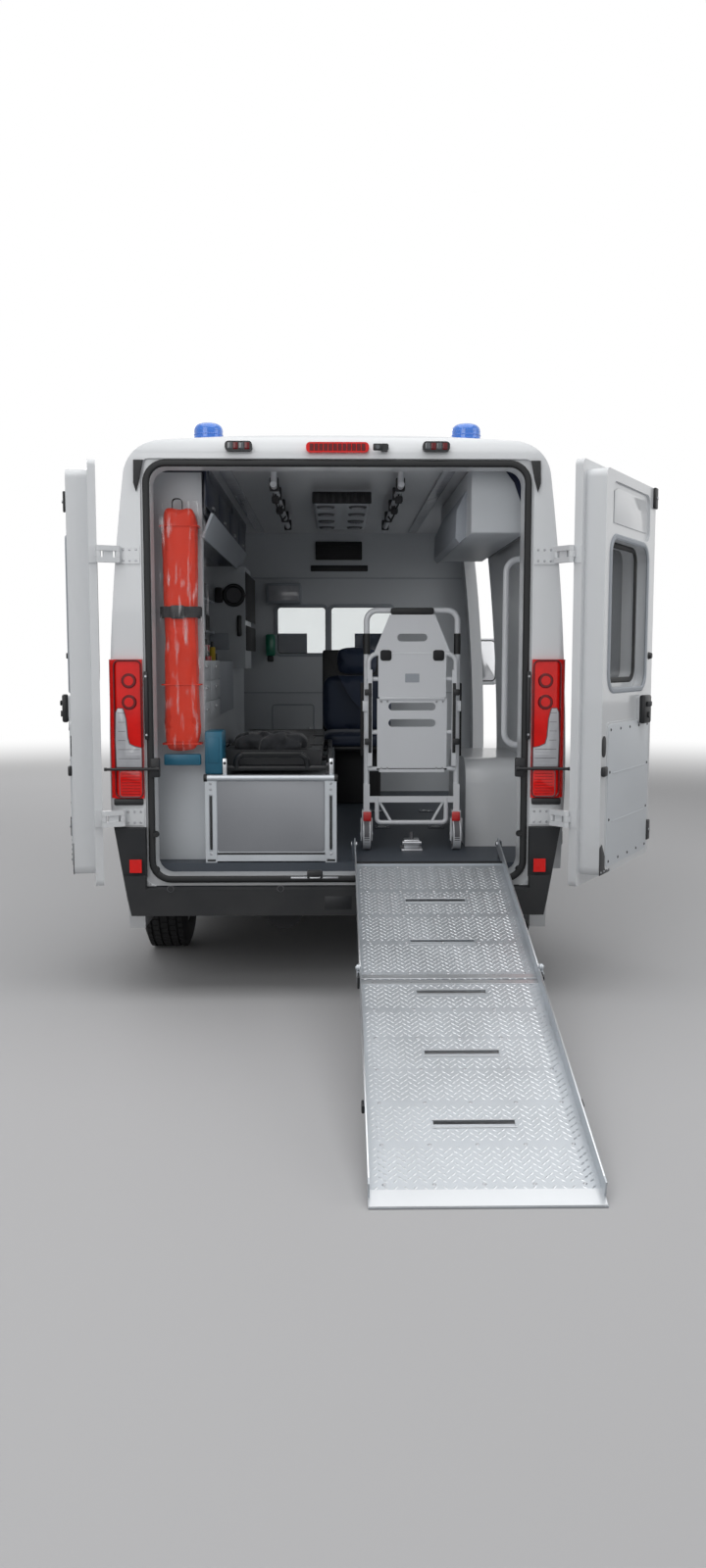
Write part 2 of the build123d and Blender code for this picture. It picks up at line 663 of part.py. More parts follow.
# Rear bumper: a step below the doors and corner pieces that rise beside them
bumper_out = -1075.0
bumper_inner = 862.0
taper_plane = Plane(origin=(992, bumper_out, corner_top), x_dir=(0, 0, 1), z_dir=(147.0, -33.3, -25.1))
corner_taper = taper_plane.location * Pos(0, 0, 200) * Box(3000, 3000, 400)
with BuildPart() as rear_bumper:
    add(body_form(0, bumper_out))
    add(block((-far, bumper_out - 20, bumper_bottom), (far, bumper_front, corner_top)), mode=Mode.INTERSECT)
    add(block((-rebate_half, bumper_out - 20, rear_bumper_top), (rebate_half, 0, 1000)), mode=Mode.SUBTRACT)
    add(block((-bumper_inner, rear_plane + 15, 0), (bumper_inner, frame_front, 1000)), mode=Mode.SUBTRACT)
    add(block((-floor_half - 35, frame_front, 0), (floor_half + 35, 0, 1000)), mode=Mode.SUBTRACT)
    for side, tag in sides:
        add(on_side(corner_taper, side), mode=Mode.SUBTRACT)
    add(block((-far, bumper_out - 20, rear_bumper_top + 60), (far, rear_plane - 30, 1000)), mode=Mode.SUBTRACT)
rear_bumper.part.label = "rear_bumper"
export_step(rear_bumper.part, "parts/rear_bumper.step")

beacon_x = 585.0
beacon_y = rear_plane + 230
beacon_radius = 66.0
beacon_height = 84.0
dome_base = roof_top - 40
dome_top = roof_top + beacon_height - 12
with BuildPart() as beacon_dome:
    with Locations((0, 0, (dome_base + dome_top) / 2)):
        Cylinder(beacon_radius, dome_top - dome_base)
    fillet(beacon_dome.edges().filter_by(GeomType.CIRCLE).sort_by(Axis.Z)[-1], 32)
with BuildPart() as beacons:
    for x in (-beacon_x, beacon_x):
        add(Pos(x, beacon_y, 0) * beacon_dome.part)
    add(outer, mode=Mode.SUBTRACT)
beacons.part.label = "beacons"
export_step(beacons.part, "parts/beacons.step")

# Rear doors: outer skin, plug that enters the opening, window; made closed about the door pivot, then swung
door_window_half = 245.0
door_window_x = 425.0
door_window_bottom = 1440.0
door_window_top = 2050.0
left_place = (Pos(-pivot_x - link_length * cos(radians(180 - left_link_swing)),
                  pivot_y - link_length * sin(radians(180 - left_link_swing)), 0)
              * Rot(0, 0, -left_link_swing - left_door_swing) * Pos(door_pivot_x, -pivot_y, 0))
right_place = (Pos(pivot_x + link_length * cos(radians(180 - right_link_swing)),
                   pivot_y - link_length * sin(radians(180 - right_link_swing)), 0)
               * Rot(0, 0, right_link_swing + right_door_swing) * Pos(-door_pivot_x, -pivot_y, 0))


# A rounded patch on the closed door's inner face, raised from it or sunk into it
def inner_face_block(low, high, depth, corner):
    with BuildPart(mode=Mode.PRIVATE) as patch:
        with BuildSketch(Plane.XZ.offset(-door_outer_y - door_depth)):
            with Locations(((low[0] + high[0]) / 2, (low[1] + high[1]) / 2)):
                RectangleRounded(high[0] - low[0], high[1] - low[1], corner)
        extrude(amount=-depth)
    return patch.part


# Inner face of a rear door as (low x z, high x z, depth, corner radius)
inner_recesses = (((110, 2095), (710, 2315), 12, 45), ((135, 1395), (735, 2075), 48, 80))
inner_pads = (((60, 590), (735, 1255), 4, 20), ((150, 1235), (255, 1360), 38, 12))


# The right-hand rear door, closed
def closed_door():
    with BuildPart(mode=Mode.PRIVATE) as door:
        with BuildSketch(Plane.XZ.offset(-door_outer_y)):
            with Locations(((door_half + door_centre_gap) / 2, (door_bottom + door_top) / 2)):
                RectangleRounded(door_half - door_centre_gap, door_top - door_bottom, 30)
        extrude(amount=-door_skin)
        plug_far = door_half - plug_inset
        plug_near = door_centre_gap + 10
        plug_low = opening_bottom + 12
        plug_high = opening_top - 12
        with BuildSketch(Plane.XZ.offset(-door_outer_y - door_skin)):
            with Locations(((plug_far + plug_near) / 2, (plug_low + plug_high) / 2)):
                RectangleRounded(plug_far - plug_near, plug_high - plug_low, 40)
        extrude(amount=-(door_depth - door_skin))
        with BuildSketch(Plane.XZ.offset(-door_outer_y + 10)):
            with Locations((door_window_x, (door_window_bottom + door_window_top) / 2)):
                RectangleRounded(2 * door_window_half, door_window_top - door_window_bottom, 60)
        extrude(amount=-(door_depth + 20), mode=Mode.SUBTRACT)
        for low, high, depth, corner in inner_recesses:
            add(inner_face_block(low, high, -depth, corner), mode=Mode.SUBTRACT)
        for low, high, depth, corner in inner_pads:
            add(inner_face_block(low, high, depth, corner))
        for height in hinge_heights:
            with Locations((door_pivot_x, pivot_y, height)):
                Cylinder(barrel_radius, 2 * barrel_half)
            with Locations(((door_pivot_x + door_half) / 2 - 3, pivot_y + 9, height)):
                Box(door_pivot_x - door_half + 6, 10, 2 * barrel_half)
            with Locations((door_half + leaf_thickness / 2, door_outer_y + door_skin / 2, height)):
                Box(leaf_thickness, door_skin, 2 * leaf_half)
            with Locations((door_pivot_x, pivot_y, height)):
                Cylinder(pin_radius + 0.3, 2 * barrel_half, mode=Mode.SUBTRACT)
    return door.part


# The right-hand rear pane, closed
def closed_pane():
    with BuildPart(mode=Mode.PRIVATE) as pane:
        with BuildSketch(Plane.XZ.offset(-door_outer_y - 12)):
            with Locations((door_window_x, (door_window_bottom + door_window_top) / 2)):
                RectangleRounded(2 * door_window_half, door_window_top - door_window_bottom, 60)
        extrude(amount=-glass_thickness)
    return pane.part


# The right-hand pair of hinge links with their pins, closed: they reach from body pivot to door pivot
def closed_links():
    with BuildPart(mode=Mode.PRIVATE) as links:
        for height in hinge_heights:
            for level in (-1, 1):
                ear_z = height + level * (barrel_half + 1 + link_ear / 2)
                with BuildSketch(Plane.XY.offset(ear_z - link_ear / 2)):
                    with Locations((pivot_x - link_length / 2, pivot_y)):
                        SlotCenterToCenter(link_length, 2 * barrel_radius)
                extrude(amount=link_ear)
            with Locations((pivot_x - link_length / 2, pivot_y, height)):
                Box(link_length - 2 * barrel_radius - 16, 10, 2 * barrel_half + 4)
            for pin_x in (pivot_x, door_pivot_x):
                with Locations((pin_x, pivot_y, height)):
                    Cylinder(pin_radius, 2 * barrel_half + 4)
    return links.part


door_right_closed = closed_door()
pane_right_closed = closed_pane()
links_right_closed = closed_links()
link_turns = {"left": Pos(-pivot_x, pivot_y, 0) * Rot(0, 0, -left_link_swing) * Pos(pivot_x, -pivot_y, 0),
              "right": Pos(pivot_x, pivot_y, 0) * Rot(0, 0, right_link_swing) * Pos(-pivot_x, -pivot_y, 0)}
door_places = {"left": left_place, "right": right_place}
for side, tag in sides:
    with BuildPart() as rear_door:
        add(door_places[tag] * on_side(door_right_closed, side))
    rear_door.part.label = f"rear_door_{tag}"
    export_step(rear_door.part, f"parts/rear_door_{tag}.step")
    with BuildPart() as rear_glass:
        add(door_places[tag] * on_side(pane_right_closed, side))
    rear_glass.part.label = f"rear_glass_{tag}"
    export_step(rear_glass.part, f"parts/rear_glass_{tag}.step")
    with BuildPart() as hinge_links:
        add(link_turns[tag] * on_side(links_right_closed, side))
    hinge_links.part.label = f"hinge_links_{tag}"
    export_step(hinge_links.part, f"parts/hinge_links_{tag}.step")

# Loading ramp, drawn flat along its own slope: s runs down the ramp, t up from the deck's top face
ramp_plane = Plane(origin=(ramp_middle, ramp_bar_y, ramp_bar_z), x_dir=(1, 0, 0),
                   z_dir=(0, -sin(radians(ramp_slope)), cos(radians(ramp_slope))))


# A box on the ramp: across it, down its slope and up from the deck's top face, from its lowest to highest
def ramp_box(across, down, up):
    low, high = (across[0], -down[1], up[0]), (across[1], -down[0], up[1])
    return ramp_plane.location * block(low, high)


# A disc on the ramp's side, turned about an axis across it
def ramp_disc(across, down, up, radius):
    disc = Cylinder(radius, across[1] - across[0], mode=Mode.PRIVATE)
    return ramp_plane.location * Pos((across[0] + across[1]) / 2, -down, up) * Rot(0, 90, 0) * disc


# The same span on the ramp's right or left side
def edge_span(side, near, far_out):
    return sorted((side * near, side * far_out))


fold_up = ramp_cheek + 3
fold_gap = 2.5
fold_pin = 6.0
fold_ear = 13.0
ear_thickness = 5.0
slot_rows = (0.1688, 0.3276, 0.4975, 0.6693, 0.8364)
slot_width = 254.0
slot_length = 32.0
lip_length = 17.0
member_rows = {"upper": (287.0, 512.0, 740.0, 978.0), "lower": (1049.0, 1230.0, 1410.0, 1593.0, 1771.0, 1975.0)}
member_width = 30.0
member_depth = 22.0
latch_down = 1817.0


# Slots of one half of the deck, each with the bent lip that stands in its lower edge
def cut_slots(deck, rows):
    for row in rows:
        place = row * ramp_length
        deck = deck - ramp_box((-slot_width / 2, slot_width / 2),
                               (place - slot_length / 2, place + slot_length / 2), (-40, 40))
        deck = deck + ramp_box((-slot_width / 2, slot_width / 2),
                               (place + slot_length / 2 - lip_length, place + slot_length / 2 + 1), (-8, -3))
    return deck


upper_deck = ramp_box((-half_width, half_width), (0, ramp_seam - fold_gap), (-deck_thickness, 0))
with BuildPart() as ramp_upper:
    add(cut_slots(upper_deck, slot_rows[:2]))
    add(ramp_box((-half_width, half_width), (0, 26), (-deck_thickness, 6)))
    for down in member_rows["upper"]:
        add(ramp_box((-half_width, half_width), (down - member_width / 2, down + member_width / 2),
                     (-member_depth, -deck_thickness)))
    for side in (1, -1):
        add(ramp_box(edge_span(side, half_width - cheek, half_width),
                     (-ramp_pivot_ahead - 14, ramp_seam - fold_gap), (-deck_thickness, ramp_cheek)))
        add(ramp_box(edge_span(side, half_width, half_width + ear_thickness),
                     (ramp_seam - 40, ramp_seam), (15, ramp_cheek - 4)))
        add(ramp_disc(edge_span(side, half_width, half_width + ear_thickness), ramp_seam, fold_up, fold_ear))
        add(ramp_box(edge_span(side, half_width, half_width + ear_thickness),
                     (ramp_seam - 11, ramp_seam + 11), (15, fold_up)))
        add(ramp_disc(edge_span(side, half_width, half_width + 2 * ear_thickness + 5), ramp_seam, fold_up, fold_pin))
    with Locations(Location((ramp_middle, ramp_pin_y, ramp_pin_z), (0, 90, 0))):
        Cylinder(ramp_pin + running_gap, 2 * half_width + 20, mode=Mode.SUBTRACT)
ramp_upper.part.label = "ramp_upper"
export_step(ramp_upper.part, "parts/ramp_upper.step")

lower_deck = ramp_box((-half_width, half_width), (ramp_seam + fold_gap, ramp_length), (-deck_thickness, 0))
with BuildPart() as ramp_lower:
    add(cut_slots(lower_deck, slot_rows[2:]))
    for down in member_rows["lower"]:
        add(ramp_box((-half_width, half_width), (down - member_width / 2, down + member_width / 2),
                     (-member_depth, -deck_thickness)))
    for side in (1, -1):
        add(ramp_box(edge_span(side, half_width - cheek, half_width),
                     (ramp_seam + fold_gap, ramp_length - ramp_flap + 40), (-deck_thickness, ramp_cheek)))
        ear_out = (half_width + ear_thickness + 1, half_width + 2 * ear_thickness + 1)
        add(ramp_box(edge_span(side, half_width, ear_out[1]), (ramp_seam + 18, ramp_seam + 44), (12, ramp_cheek - 4)))
        add(ramp_box(edge_span(side, *ear_out), (ramp_seam, ramp_seam + 44), (20, ramp_cheek - 4)))
        add(ramp_disc(edge_span(side, *ear_out), ramp_seam, fold_up, fold_ear))
        add(ramp_disc(edge_span(side, *ear_out), ramp_seam, fold_up, fold_pin + running_gap), mode=Mode.SUBTRACT)
        add(ramp_box(edge_span(side, half_width, half_width + 9), (latch_down - 14, latch_down + 14), (8, 34)))
ramp_lower.part.label = "ramp_lower"
export_step(ramp_lower.part, "parts/ramp_lower.step")

# Wheels: outline turned about the axle; x is measured outwards from the wheel's middle
rim_half = 85.0
flange_radius = 205.0
bore_radius = 30.0
with BuildPart() as rim_form:
    with BuildSketch(Plane.XZ):
        with BuildLine():
            Polyline((-rim_half - 6, rim_radius - 8), (-rim_half - 6, flange_radius), (-rim_half, flange_radius),
                     (-rim_half, rim_radius), (rim_half, rim_radius), (rim_half, flange_radius),
                     (rim_half + 6, flange_radius), (rim_half + 6, rim_radius - 8), (30, rim_radius - 8),
                     (18, 150), (44, 95), (44, 78), (58, 70), (64, 40), (64, 0), (20, 0), (20, bore_radius),
                     (-10, bore_radius), (-10, 62), (10, 66), (10, 150), (20, rim_radius - 8), close=True)
        make_face()
    revolve(axis=Axis.X)
    with BuildSketch(Plane.YZ.offset(60)):
        with PolarLocations(128, 12):
            Circle(13)
    extrude(amount=-80, mode=Mode.SUBTRACT)
with BuildPart() as tyre_form:
    with BuildSketch(Plane.XZ):
        with BuildLine():
            half = tyre_width / 2
            bead = rim_radius + 0.3
            Line((-rim_half + 1, bead), (rim_half - 1, bead))
            Line((rim_half - 1, bead), (rim_half - 1, flange_radius + 4))
            ThreePointArc((rim_half - 1, flange_radius + 4), (half, 262), (half - 14, 322))
            ThreePointArc((half - 14, 322), (half - 20, 333), (half - 34, tyre_radius - 2))
            ThreePointArc((half - 34, tyre_radius - 2), (0, tyre_radius), (34 - half, tyre_radius - 2))
            ThreePointArc((34 - half, tyre_radius - 2), (20 - half, 333), (14 - half, 322))
            ThreePointArc((14 - half, 322), (-half, 262), (1 - rim_half, flange_radius + 4))
            Line((1 - rim_half, flange_radius + 4), (-rim_half + 1, bead))
        make_face()
    revolve(axis=Axis.X)
wheel_places = (("front", wheelbase, track_half_front), ("rear", 0.0, track_half_rear))
for end, axle_y, half_track in wheel_places:
    for side, tag in sides:
        place = Pos(side * half_track, axle_y, tyre_radius)
        with BuildPart() as rim:
            add(place * on_side(rim_form.part, side))
        rim.part.label = f"rim_{end}_{tag}"
        export_step(rim.part, f"parts/rim_{end}_{tag}.step")
        with BuildPart() as tyre:
            add(place * on_side(tyre_form.part, side))
        tyre.part.label = f"tyre_{end}_{tag}"
        export_step(tyre.part, f"parts/tyre_{end}_{tag}.step")

# Steering knuckles with strut and stub axle; the steering axis leans inwards from lower joint to strut top
joint_x = 845.0
joint_z = 205.0
strut_top_x = 760.0
strut_top_z = 1000.0
stub_radius = bore_radius - 0.3
ball_radius = 17.0
with BuildPart() as knuckle_form:
    with Locations(Location((track_half_front - 2, wheelbase, tyre_radius), (0, 90, 0))):
        Cylinder(stub_radius, 34)
    with Locations(Location((track_half_front - 40, wheelbase, tyre_radius), (0, 90, 0))):
        Cylinder(58, 50)
    with Locations((joint_x + 4, wheelbase, (joint_z + 455) / 2)):
        Box(30, 80, 455 - joint_z - 20)
    with BuildSketch(Plane.XZ.offset(-wheelbase + 30)):
        with BuildLine():
            Polyline((joint_x + 19, 455), (joint_x + 19, 415), (joint_x - 11, 415), (740, 450), (740, 640),
                     (784, 640), (784, 480), close=True)
        make_face()
    extrude(amount=-60)
    with Locations((strut_top_x, wheelbase, (600 + strut_top_z - 6) / 2)):
        Cylinder(22, strut_top_z - 6 - 600)
    for x, z in ((strut_top_x, strut_top_z), (joint_x, joint_z)):
        with Locations((x, wheelbase, z)):
            Sphere(ball_radius)
for side, tag in sides:
    with BuildPart() as knuckle:
        add(on_side(knuckle_form.part, side))
    knuckle.part.label = f"knuckle_{tag}"
    export_step(knuckle.part, f"parts/knuckle_{tag}.step")

# Front subframe: cross beam, lower arms and the towers that hold the strut tops
with BuildPart() as front_subframe:
    with Locations((0, wheelbase, 190)):
        Box(1000, 240, 50)
    for side in (1, -1):
        with Locations((side * 655, wheelbase, 178)):
            Box(380, 50, 24)
        with Locations((side * (joint_x - 2), wheelbase, 184)):
            Box(50, 50, 36)
        with Locations((side * 545, wheelbase, 595)):
            Box(40, 160, 840)
        with Locations((side * 690, wheelbase, strut_top_z + 14)):
            Box(330, 160, 24)
        for x, z in ((strut_top_x, strut_top_z), (joint_x, joint_z)):
            with Locations((side * x, wheelbase, z)):
                Sphere(ball_radius + running_gap, mode=Mode.SUBTRACT)
        add(block((side * 300 - 35, firewall_back + 15, 168), (side * 300 + 35, 4060, 213)))
        add(block((side * 300 - 35, firewall_back + 15, 200), (side * 300 + 35, firewall_front - 15, 250 - seat_fit)))
front_subframe.part.label = "front_subframe"
export_step(front_subframe.part, "parts/front_subframe.step")

# Rear axle: tube with stubs, brake backplates and leaf springs under it
spring_x = 560.0
spring_reach = 620.0
with BuildPart() as rear_axle:
    with Locations(Location((0, 0, tyre_radius), (0, 90, 0))):
        Cylinder(38, 2 * (track_half_rear - 60))
    with Locations(Location((0, 0, tyre_radius), (0, 90, 0))):
        Cylinder(stub_radius, 2 * (track_half_rear + 15))
    for side in (1, -1):
        with Locations(Location((side * (track_half_rear - 40), 0, tyre_radius), (0, 90, 0))):
            Cylinder(130, 40)
        with BuildSketch(Plane.YZ.offset(side * spring_x - 35)):
            with BuildLine():
                ThreePointArc((-spring_reach, 380), (0, 290), (spring_reach, 380))
                Line((spring_reach, 380), (spring_reach, 362))
                ThreePointArc((spring_reach, 362), (0, 262), (-spring_reach, 362))
                Line((-spring_reach, 362), (-spring_reach, 380))
            make_face()
        extrude(amount=70)
        with Locations((side * spring_x, 0, 312)):
            Box(90, 110, 60)
        for y in (-spring_reach, spring_reach):
            with Locations((side * spring_x, y, (365 + floor_bottom) / 2)):
                Box(50, 60, floor_bottom - 365)
rear_axle.part.label = "rear_axle"
export_step(rear_axle.part, "parts/rear_axle.step")

# Chassis: rails and cross members under the floor, fuel tank, exhaust
rail_x = 430.0
fuel_tank = fillet(Box(330, 900, 200).edges().filter_by(Axis.Y), 40)
with BuildPart() as chassis:
    for side in (1, -1):
        with Locations((side * rail_x, (frame_front + 2900) / 2, floor_bottom - 45)):
            Box(70, 2900 - frame_front, 90)
    for y in (-860, -500, 500, 1300, 2100, 2850):
        with Locations((0, y, floor_bottom - 35)):
            Box(2 * rail_x, 60, 70)
    add(Pos(-rail_x - 200, 1700, floor_bottom - 100) * fuel_tank)
    with Locations(Location((-250, 0, floor_bottom - 60), (90, 0, 0))):
        Cylinder(28, 1500)
    with Locations(Location((-250, -640, floor_bottom - 115), (90, 0, 0))):
        Cylinder(85, 420)
chassis.part.label = "chassis"
export_step(chassis.part, "parts/chassis.step")

with BuildPart() as engine_block:
    with Locations((60, wheelbase + 330, 640)):
        Box(720, 480, 620)
    fillet(engine_block.edges().filter_by(Axis.Z), 40)
    for x in (-260, 260):
        with Locations((x + 10, wheelbase + 330, 275)):
            Box(60, 80, 124)
engine_block.part.label = "engine_block"
export_step(engine_block.part, "parts/engine_block.step")

# Cab: dashboard, seats and steering wheel
wheel_x = -450.0
wheel_y = 2810.0
wheel_z = 1150.0
column_tilt = 25.0
column_radius = 22.0
steering_plane = Plane(origin=(wheel_x, wheel_y, wheel_z), x_dir=(1, 0, 0),
                       z_dir=(0, -cos(radians(column_tilt)), sin(radians(column_tilt))))
with BuildPart() as dashboard:
    with BuildSketch(Plane.YZ.offset(-far)):
        with BuildLine():
            Polyline((3550, 1240), (3060, 1240), (2960, 1190), (2930, 1040), (3040, 900), (3040, 650), (firewall_back,
                     650), (firewall_back, 1235), close=True)
        make_face()
    extrude(amount=2 * far)
    add(body_form(wall + 8, rear_plane), mode=Mode.INTERSECT)
    add(front_end.part, mode=Mode.SUBTRACT)
    with Locations(steering_plane.location):
        with Locations((0, 0, -165)):
            Cylinder(40, 90)
            Cylinder(column_radius + running_gap, 100, mode=Mode.SUBTRACT)
dashboard.part.label = "dashboard"
export_step(dashboard.part, "parts/dashboard.step")

seat_side = [(2190, 1010), (2270, 870), (2290, 860), (2760, 880), (2780, 800), (2740, 760), (2300, 740),
             (2220, 800), (2150, 1000), (2135, 1520), (2150, 1720), (2200, 1720), (2230, 1500)]
cab_seat_spans = ((-690, -210), (130, 870))
with BuildPart() as cab_seats:
    for low, high in cab_seat_spans:
        with BuildSketch(Plane.YZ.offset(low)):
            with BuildLine():
                Polyline(*seat_side, close=True)
            make_face()
        extrude(amount=min(high, 860) - low)
        with Locations(((low + high) / 2, 2480, (cab_floor_top + 750) / 2)):
            Box(high - low - 120, 400, 750 - cab_floor_top)
cab_seats.part.label = "cab_seats"
export_step(cab_seats.part, "parts/cab_seats.step")

with BuildPart() as steering_wheel:
    with Locations(steering_plane.location):
        Torus(185, 14)
        Cylinder(48, 40)
        for turn in (0, 120, 240):
            with Locations(Location((0, 0, 0), (0, 0, turn + 90))):
                with Locations((100, 0, 0)):
                    Box(160, 26, 12)
        with Locations((0, 0, -85)):
            Cylinder(column_radius, 160)
steering_wheel.part.label = "steering_wheel"
export_step(steering_wheel.part, "parts/steering_wheel.step")

# Load space fittings, all kept inside the lining
lining = inner_trim & block((-far, frame_front, floor_top), (far, bulkhead_back, ceiling))
column_inner = -618.0
column_back = -795.0
with BuildPart() as left_cabinets:
    add(block((-far, column_back, arch_cover_top), (column_inner, column_back + 50, 2380)))
    add(block((-far, column_back, floor_top), (column_inner, column_back + 360, arch_cover_top)))
    add(block((-far, column_back + 40, arch_cover_top), (-640, 1900, 1480)))
    add(block((-far, arch_cover_half, floor_top), (-640, 1900, arch_cover_top)))
    add(block((-far, 1000, 1480), (-560, 1500, 2100)))
    add(block((-far, -2000, 0), (-arch_cover_inner, arch_cover_half, arch_cover_top)) &
        block((-far, -arch_cover_half, 0), (0, arch_cover_half, arch_cover_top)), mode=Mode.SUBTRACT)
    add(lining, mode=Mode.INTERSECT)
left_cabinets.part.label = "left_cabinets"
export_step(left_cabinets.part, "parts/left_cabinets.step")

locker_section = [(-far, 2100), (-720, 2100), (-610, 2200), (-590, 2390), (-590, 2500), (-far, 2500)]
with BuildPart() as overhead_lockers:
    with BuildSketch(Plane.XZ.offset(-column_back - 52)):
        with BuildLine():
            Polyline(*locker_section, close=True)
        make_face()
    extrude(amount=-2300)
    add(block((620, -840, 2123), (far, 680, 2500)))
    add(lining, mode=Mode.INTERSECT)
overhead_lockers.part.label = "overhead_lockers"
export_step(overhead_lockers.part, "parts/overhead_lockers.step")

platform_left = -610.0
platform_right = -6.0
platform_back = -893.0
platform_top = 985.0
post_width = 52.0
rail_radius_low = 15.0
with BuildPart() as stretcher_platform:
    add(block((platform_left + post_width, platform_back + 8, 645), (platform_right - post_width, platform_back + 30,
                                                                     platform_top)))
    add(block((platform_left + post_width, platform_back + 4, 606), (platform_right - post_width, platform_back + 34,
                                                                     636)))
    for low in (platform_left, platform_right - post_width):
        add(block((low, platform_back, 618), (low + post_width, platform_back + 45, platform_top)))
        add(block((low + 18, platform_back - 1, 655), (low + 34, platform_back + 12, 915)), mode=Mode.SUBTRACT)
        add(block((low, platform_back + 4, floor_top), (low + post_width, platform_back + 55, 620)))
    with Locations(Location(((platform_left + platform_right) / 2, platform_back + 6, platform_top + 8), (0, 90, 0))):
        Cylinder(rail_radius_low, platform_right - platform_left - 20)
    add(block((platform_left + 10, platform_back + 30, platform_top - 45), (platform_right - 10, 1150, platform_top)))
    add(block((platform_left + post_width, platform_back + 25, 606), (platform_right - post_width, platform_back + 45,
                                                                      platform_top)))
    for x in (platform_left + 12, platform_right - 52):
        add(block((x, platform_back + 20, floor_top), (x + 40, 1140, platform_top - 45)))
stretcher_platform.part.label = "stretcher_platform"
export_step(stretcher_platform.part, "parts/stretcher_platform.step")

# Folded stretcher: side tubes with legs folded under them, mattress and raised push bar at the rear
stretcher_x = (platform_left + platform_right) / 2
stretcher_half = 265.0
stretcher_tube = 14.0
with BuildPart() as stretcher:
    for side in (1, -1):
        with Locations(Location((stretcher_x + side * stretcher_half, 110, platform_top + 45), (90, 0, 0))):
            Cylinder(stretcher_tube, 1840)
        for y in (-700, 850):
            with Locations((stretcher_x + side * stretcher_half, y, platform_top + 23)):
                Box(24, 60, 46)
    for y in (-780, -200, 420, 1000):
        with Locations(Location((stretcher_x, y, platform_top + 45), (0, 90, 0))):
            Cylinder(stretcher_tube, 2 * stretcher_half)
    with BuildLine() as push_bar:
        FilletPolyline((stretcher_x - 165, -780, platform_top + 45), (stretcher_x - 165, -815, platform_top + 112),
                       (stretcher_x + 165, -815, platform_top + 112), (stretcher_x + 165, -780, platform_top + 45),
                       radius=45)
    with BuildSketch(Plane(origin=push_bar.line @ 0, z_dir=push_bar.line % 0)):
        Circle(stretcher_tube)
    sweep(path=push_bar.line)
    with Locations((stretcher_x, 150, platform_top + 88)):
        Box(460, 1700, 70)
stretcher.part.label = "stretcher"
export_step(stretcher.part, "parts/stretcher.step")

chair_x = 363.0
chair_y = -500.0
chair_half = 221.0
chair_tube = 14.0
chair_panels = (((-165, 1352), (165, 1560), -34, -22), ((-170, 1000), (170, 1345), -30, -18),
                ((-160, 985), (160, 1000), -34, -10))
chair_slots = ((1640, 145), (1306, 230), (1226, 230))
chair_castor = 75.0


# A bent tube through a few corners
def bent_tube(points, radius, bend):
    with BuildPart(mode=Mode.PRIVATE) as tube:
        with BuildLine() as path:
            FilletPolyline(*points, radius=bend)
        with BuildSketch(Plane(origin=path.line @ 0, z_dir=path.line % 0)):
            Circle(radius)
        sweep(path=path.line)
    return tube.part


chair_frame = bent_tube([(-chair_half, 0, 690), (-chair_half, 0, 1772), (chair_half, 0, 1772), (chair_half, 0, 690)],
                        chair_tube, 52)
chair_hoop = bent_tube([(-212, -24, 1440), (-212, -24, 1562), (212, -24, 1562), (212, -24, 1440)], 11, 45)
chair_foot = bent_tube([(-170, -20, 860), (-170, -20, 735), (170, -20, 735), (170, -20, 860)], 11, 20)
with BuildPart() as stair_chair:
    with Locations((chair_x, chair_y, 0)):
        add(chair_frame)
        add(chair_hoop)
        add(chair_foot)
    for low, high, back, front in chair_panels:
        add(block((chair_x + low[0], chair_y + back, low[1]), (chair_x + high[0], chair_y + front, high[1])))
    with BuildSketch(Plane.XZ.offset(-chair_y + 20)):
        with BuildLine():
            Polyline((chair_x - 110, 1750), (chair_x + 110, 1750), (chair_x + 190, 1555), (chair_x - 190, 1555),
                     close=True)
        make_face()
    extrude(amount=12)
    for z in (1440, 1180, 1000):
        with Locations(Location((chair_x, chair_y - 12, z), (0, 90, 0))):
            Cylinder(11, 2 * chair_half - chair_tube)
    for side in (1, -1):
        with Locations((chair_x + side * 205, chair_y - 24, 1250)):
            Box(22, 26, 470)
        with Locations((chair_x + side * chair_half, chair_y, 730)):
            Box(44, 60, 130)
        with Locations((chair_x + side * chair_half, chair_y - 12, 850)):
            Box(30, 30, 150)
        for ear in (-26, 26):
            with Locations((chair_x + side * chair_half + ear, chair_y - 10, 700)):
                Box(6, 44, 110)
        with Locations(Location((chair_x + side * chair_half, chair_y - 10, floor_top + chair_castor), (0, 90, 0))):
            Cylinder(chair_castor, 38)
        with Locations(Location((chair_x + side * chair_half, chair_y - 10, floor_top + chair_castor), (0, 90, 0))):
            Cylinder(8, 58)
    with Locations((chair_x, chair_y - 20, 850)):
        Box(2 * chair_half, 14, 30)
    for z, width in chair_slots:
        with BuildSketch(Plane.XZ.offset(-chair_y + 5)):
            with Locations((chair_x, z)):
                SlotOverall(width, 38)
        extrude(amount=60, mode=Mode.SUBTRACT)
stair_chair.part.label = "stair_chair"
export_step(stair_chair.part, "parts/stair_chair.step")

seat_x = 135.0
seat_y = 1430.0
with BuildPart() as attendant_seat:
    with Locations((seat_x, seat_y + 60, (floor_top + 960) / 2)):
        Box(300, 300, 960 - floor_top)
    with Locations((seat_x, seat_y, 1010)):
        Box(480, 480, 110)
    with Locations((seat_x, seat_y + 220, 1330)):
        Box(480, 110, 568)
attendant_seat.part.label = "attendant_seat"
export_step(attendant_seat.part, "parts/attendant_seat.step")

with BuildPart() as rescue_bag:
    with BuildSketch(Plane.XY.offset(1107)):
        with Locations((-726, column_back - 50.3)):
            RectangleRounded(152, 100, 35)
    extrude(amount=1116)
rescue_bag.part.label = "rescue_bag"
export_step(rescue_bag.part, "parts/rescue_bag.step")

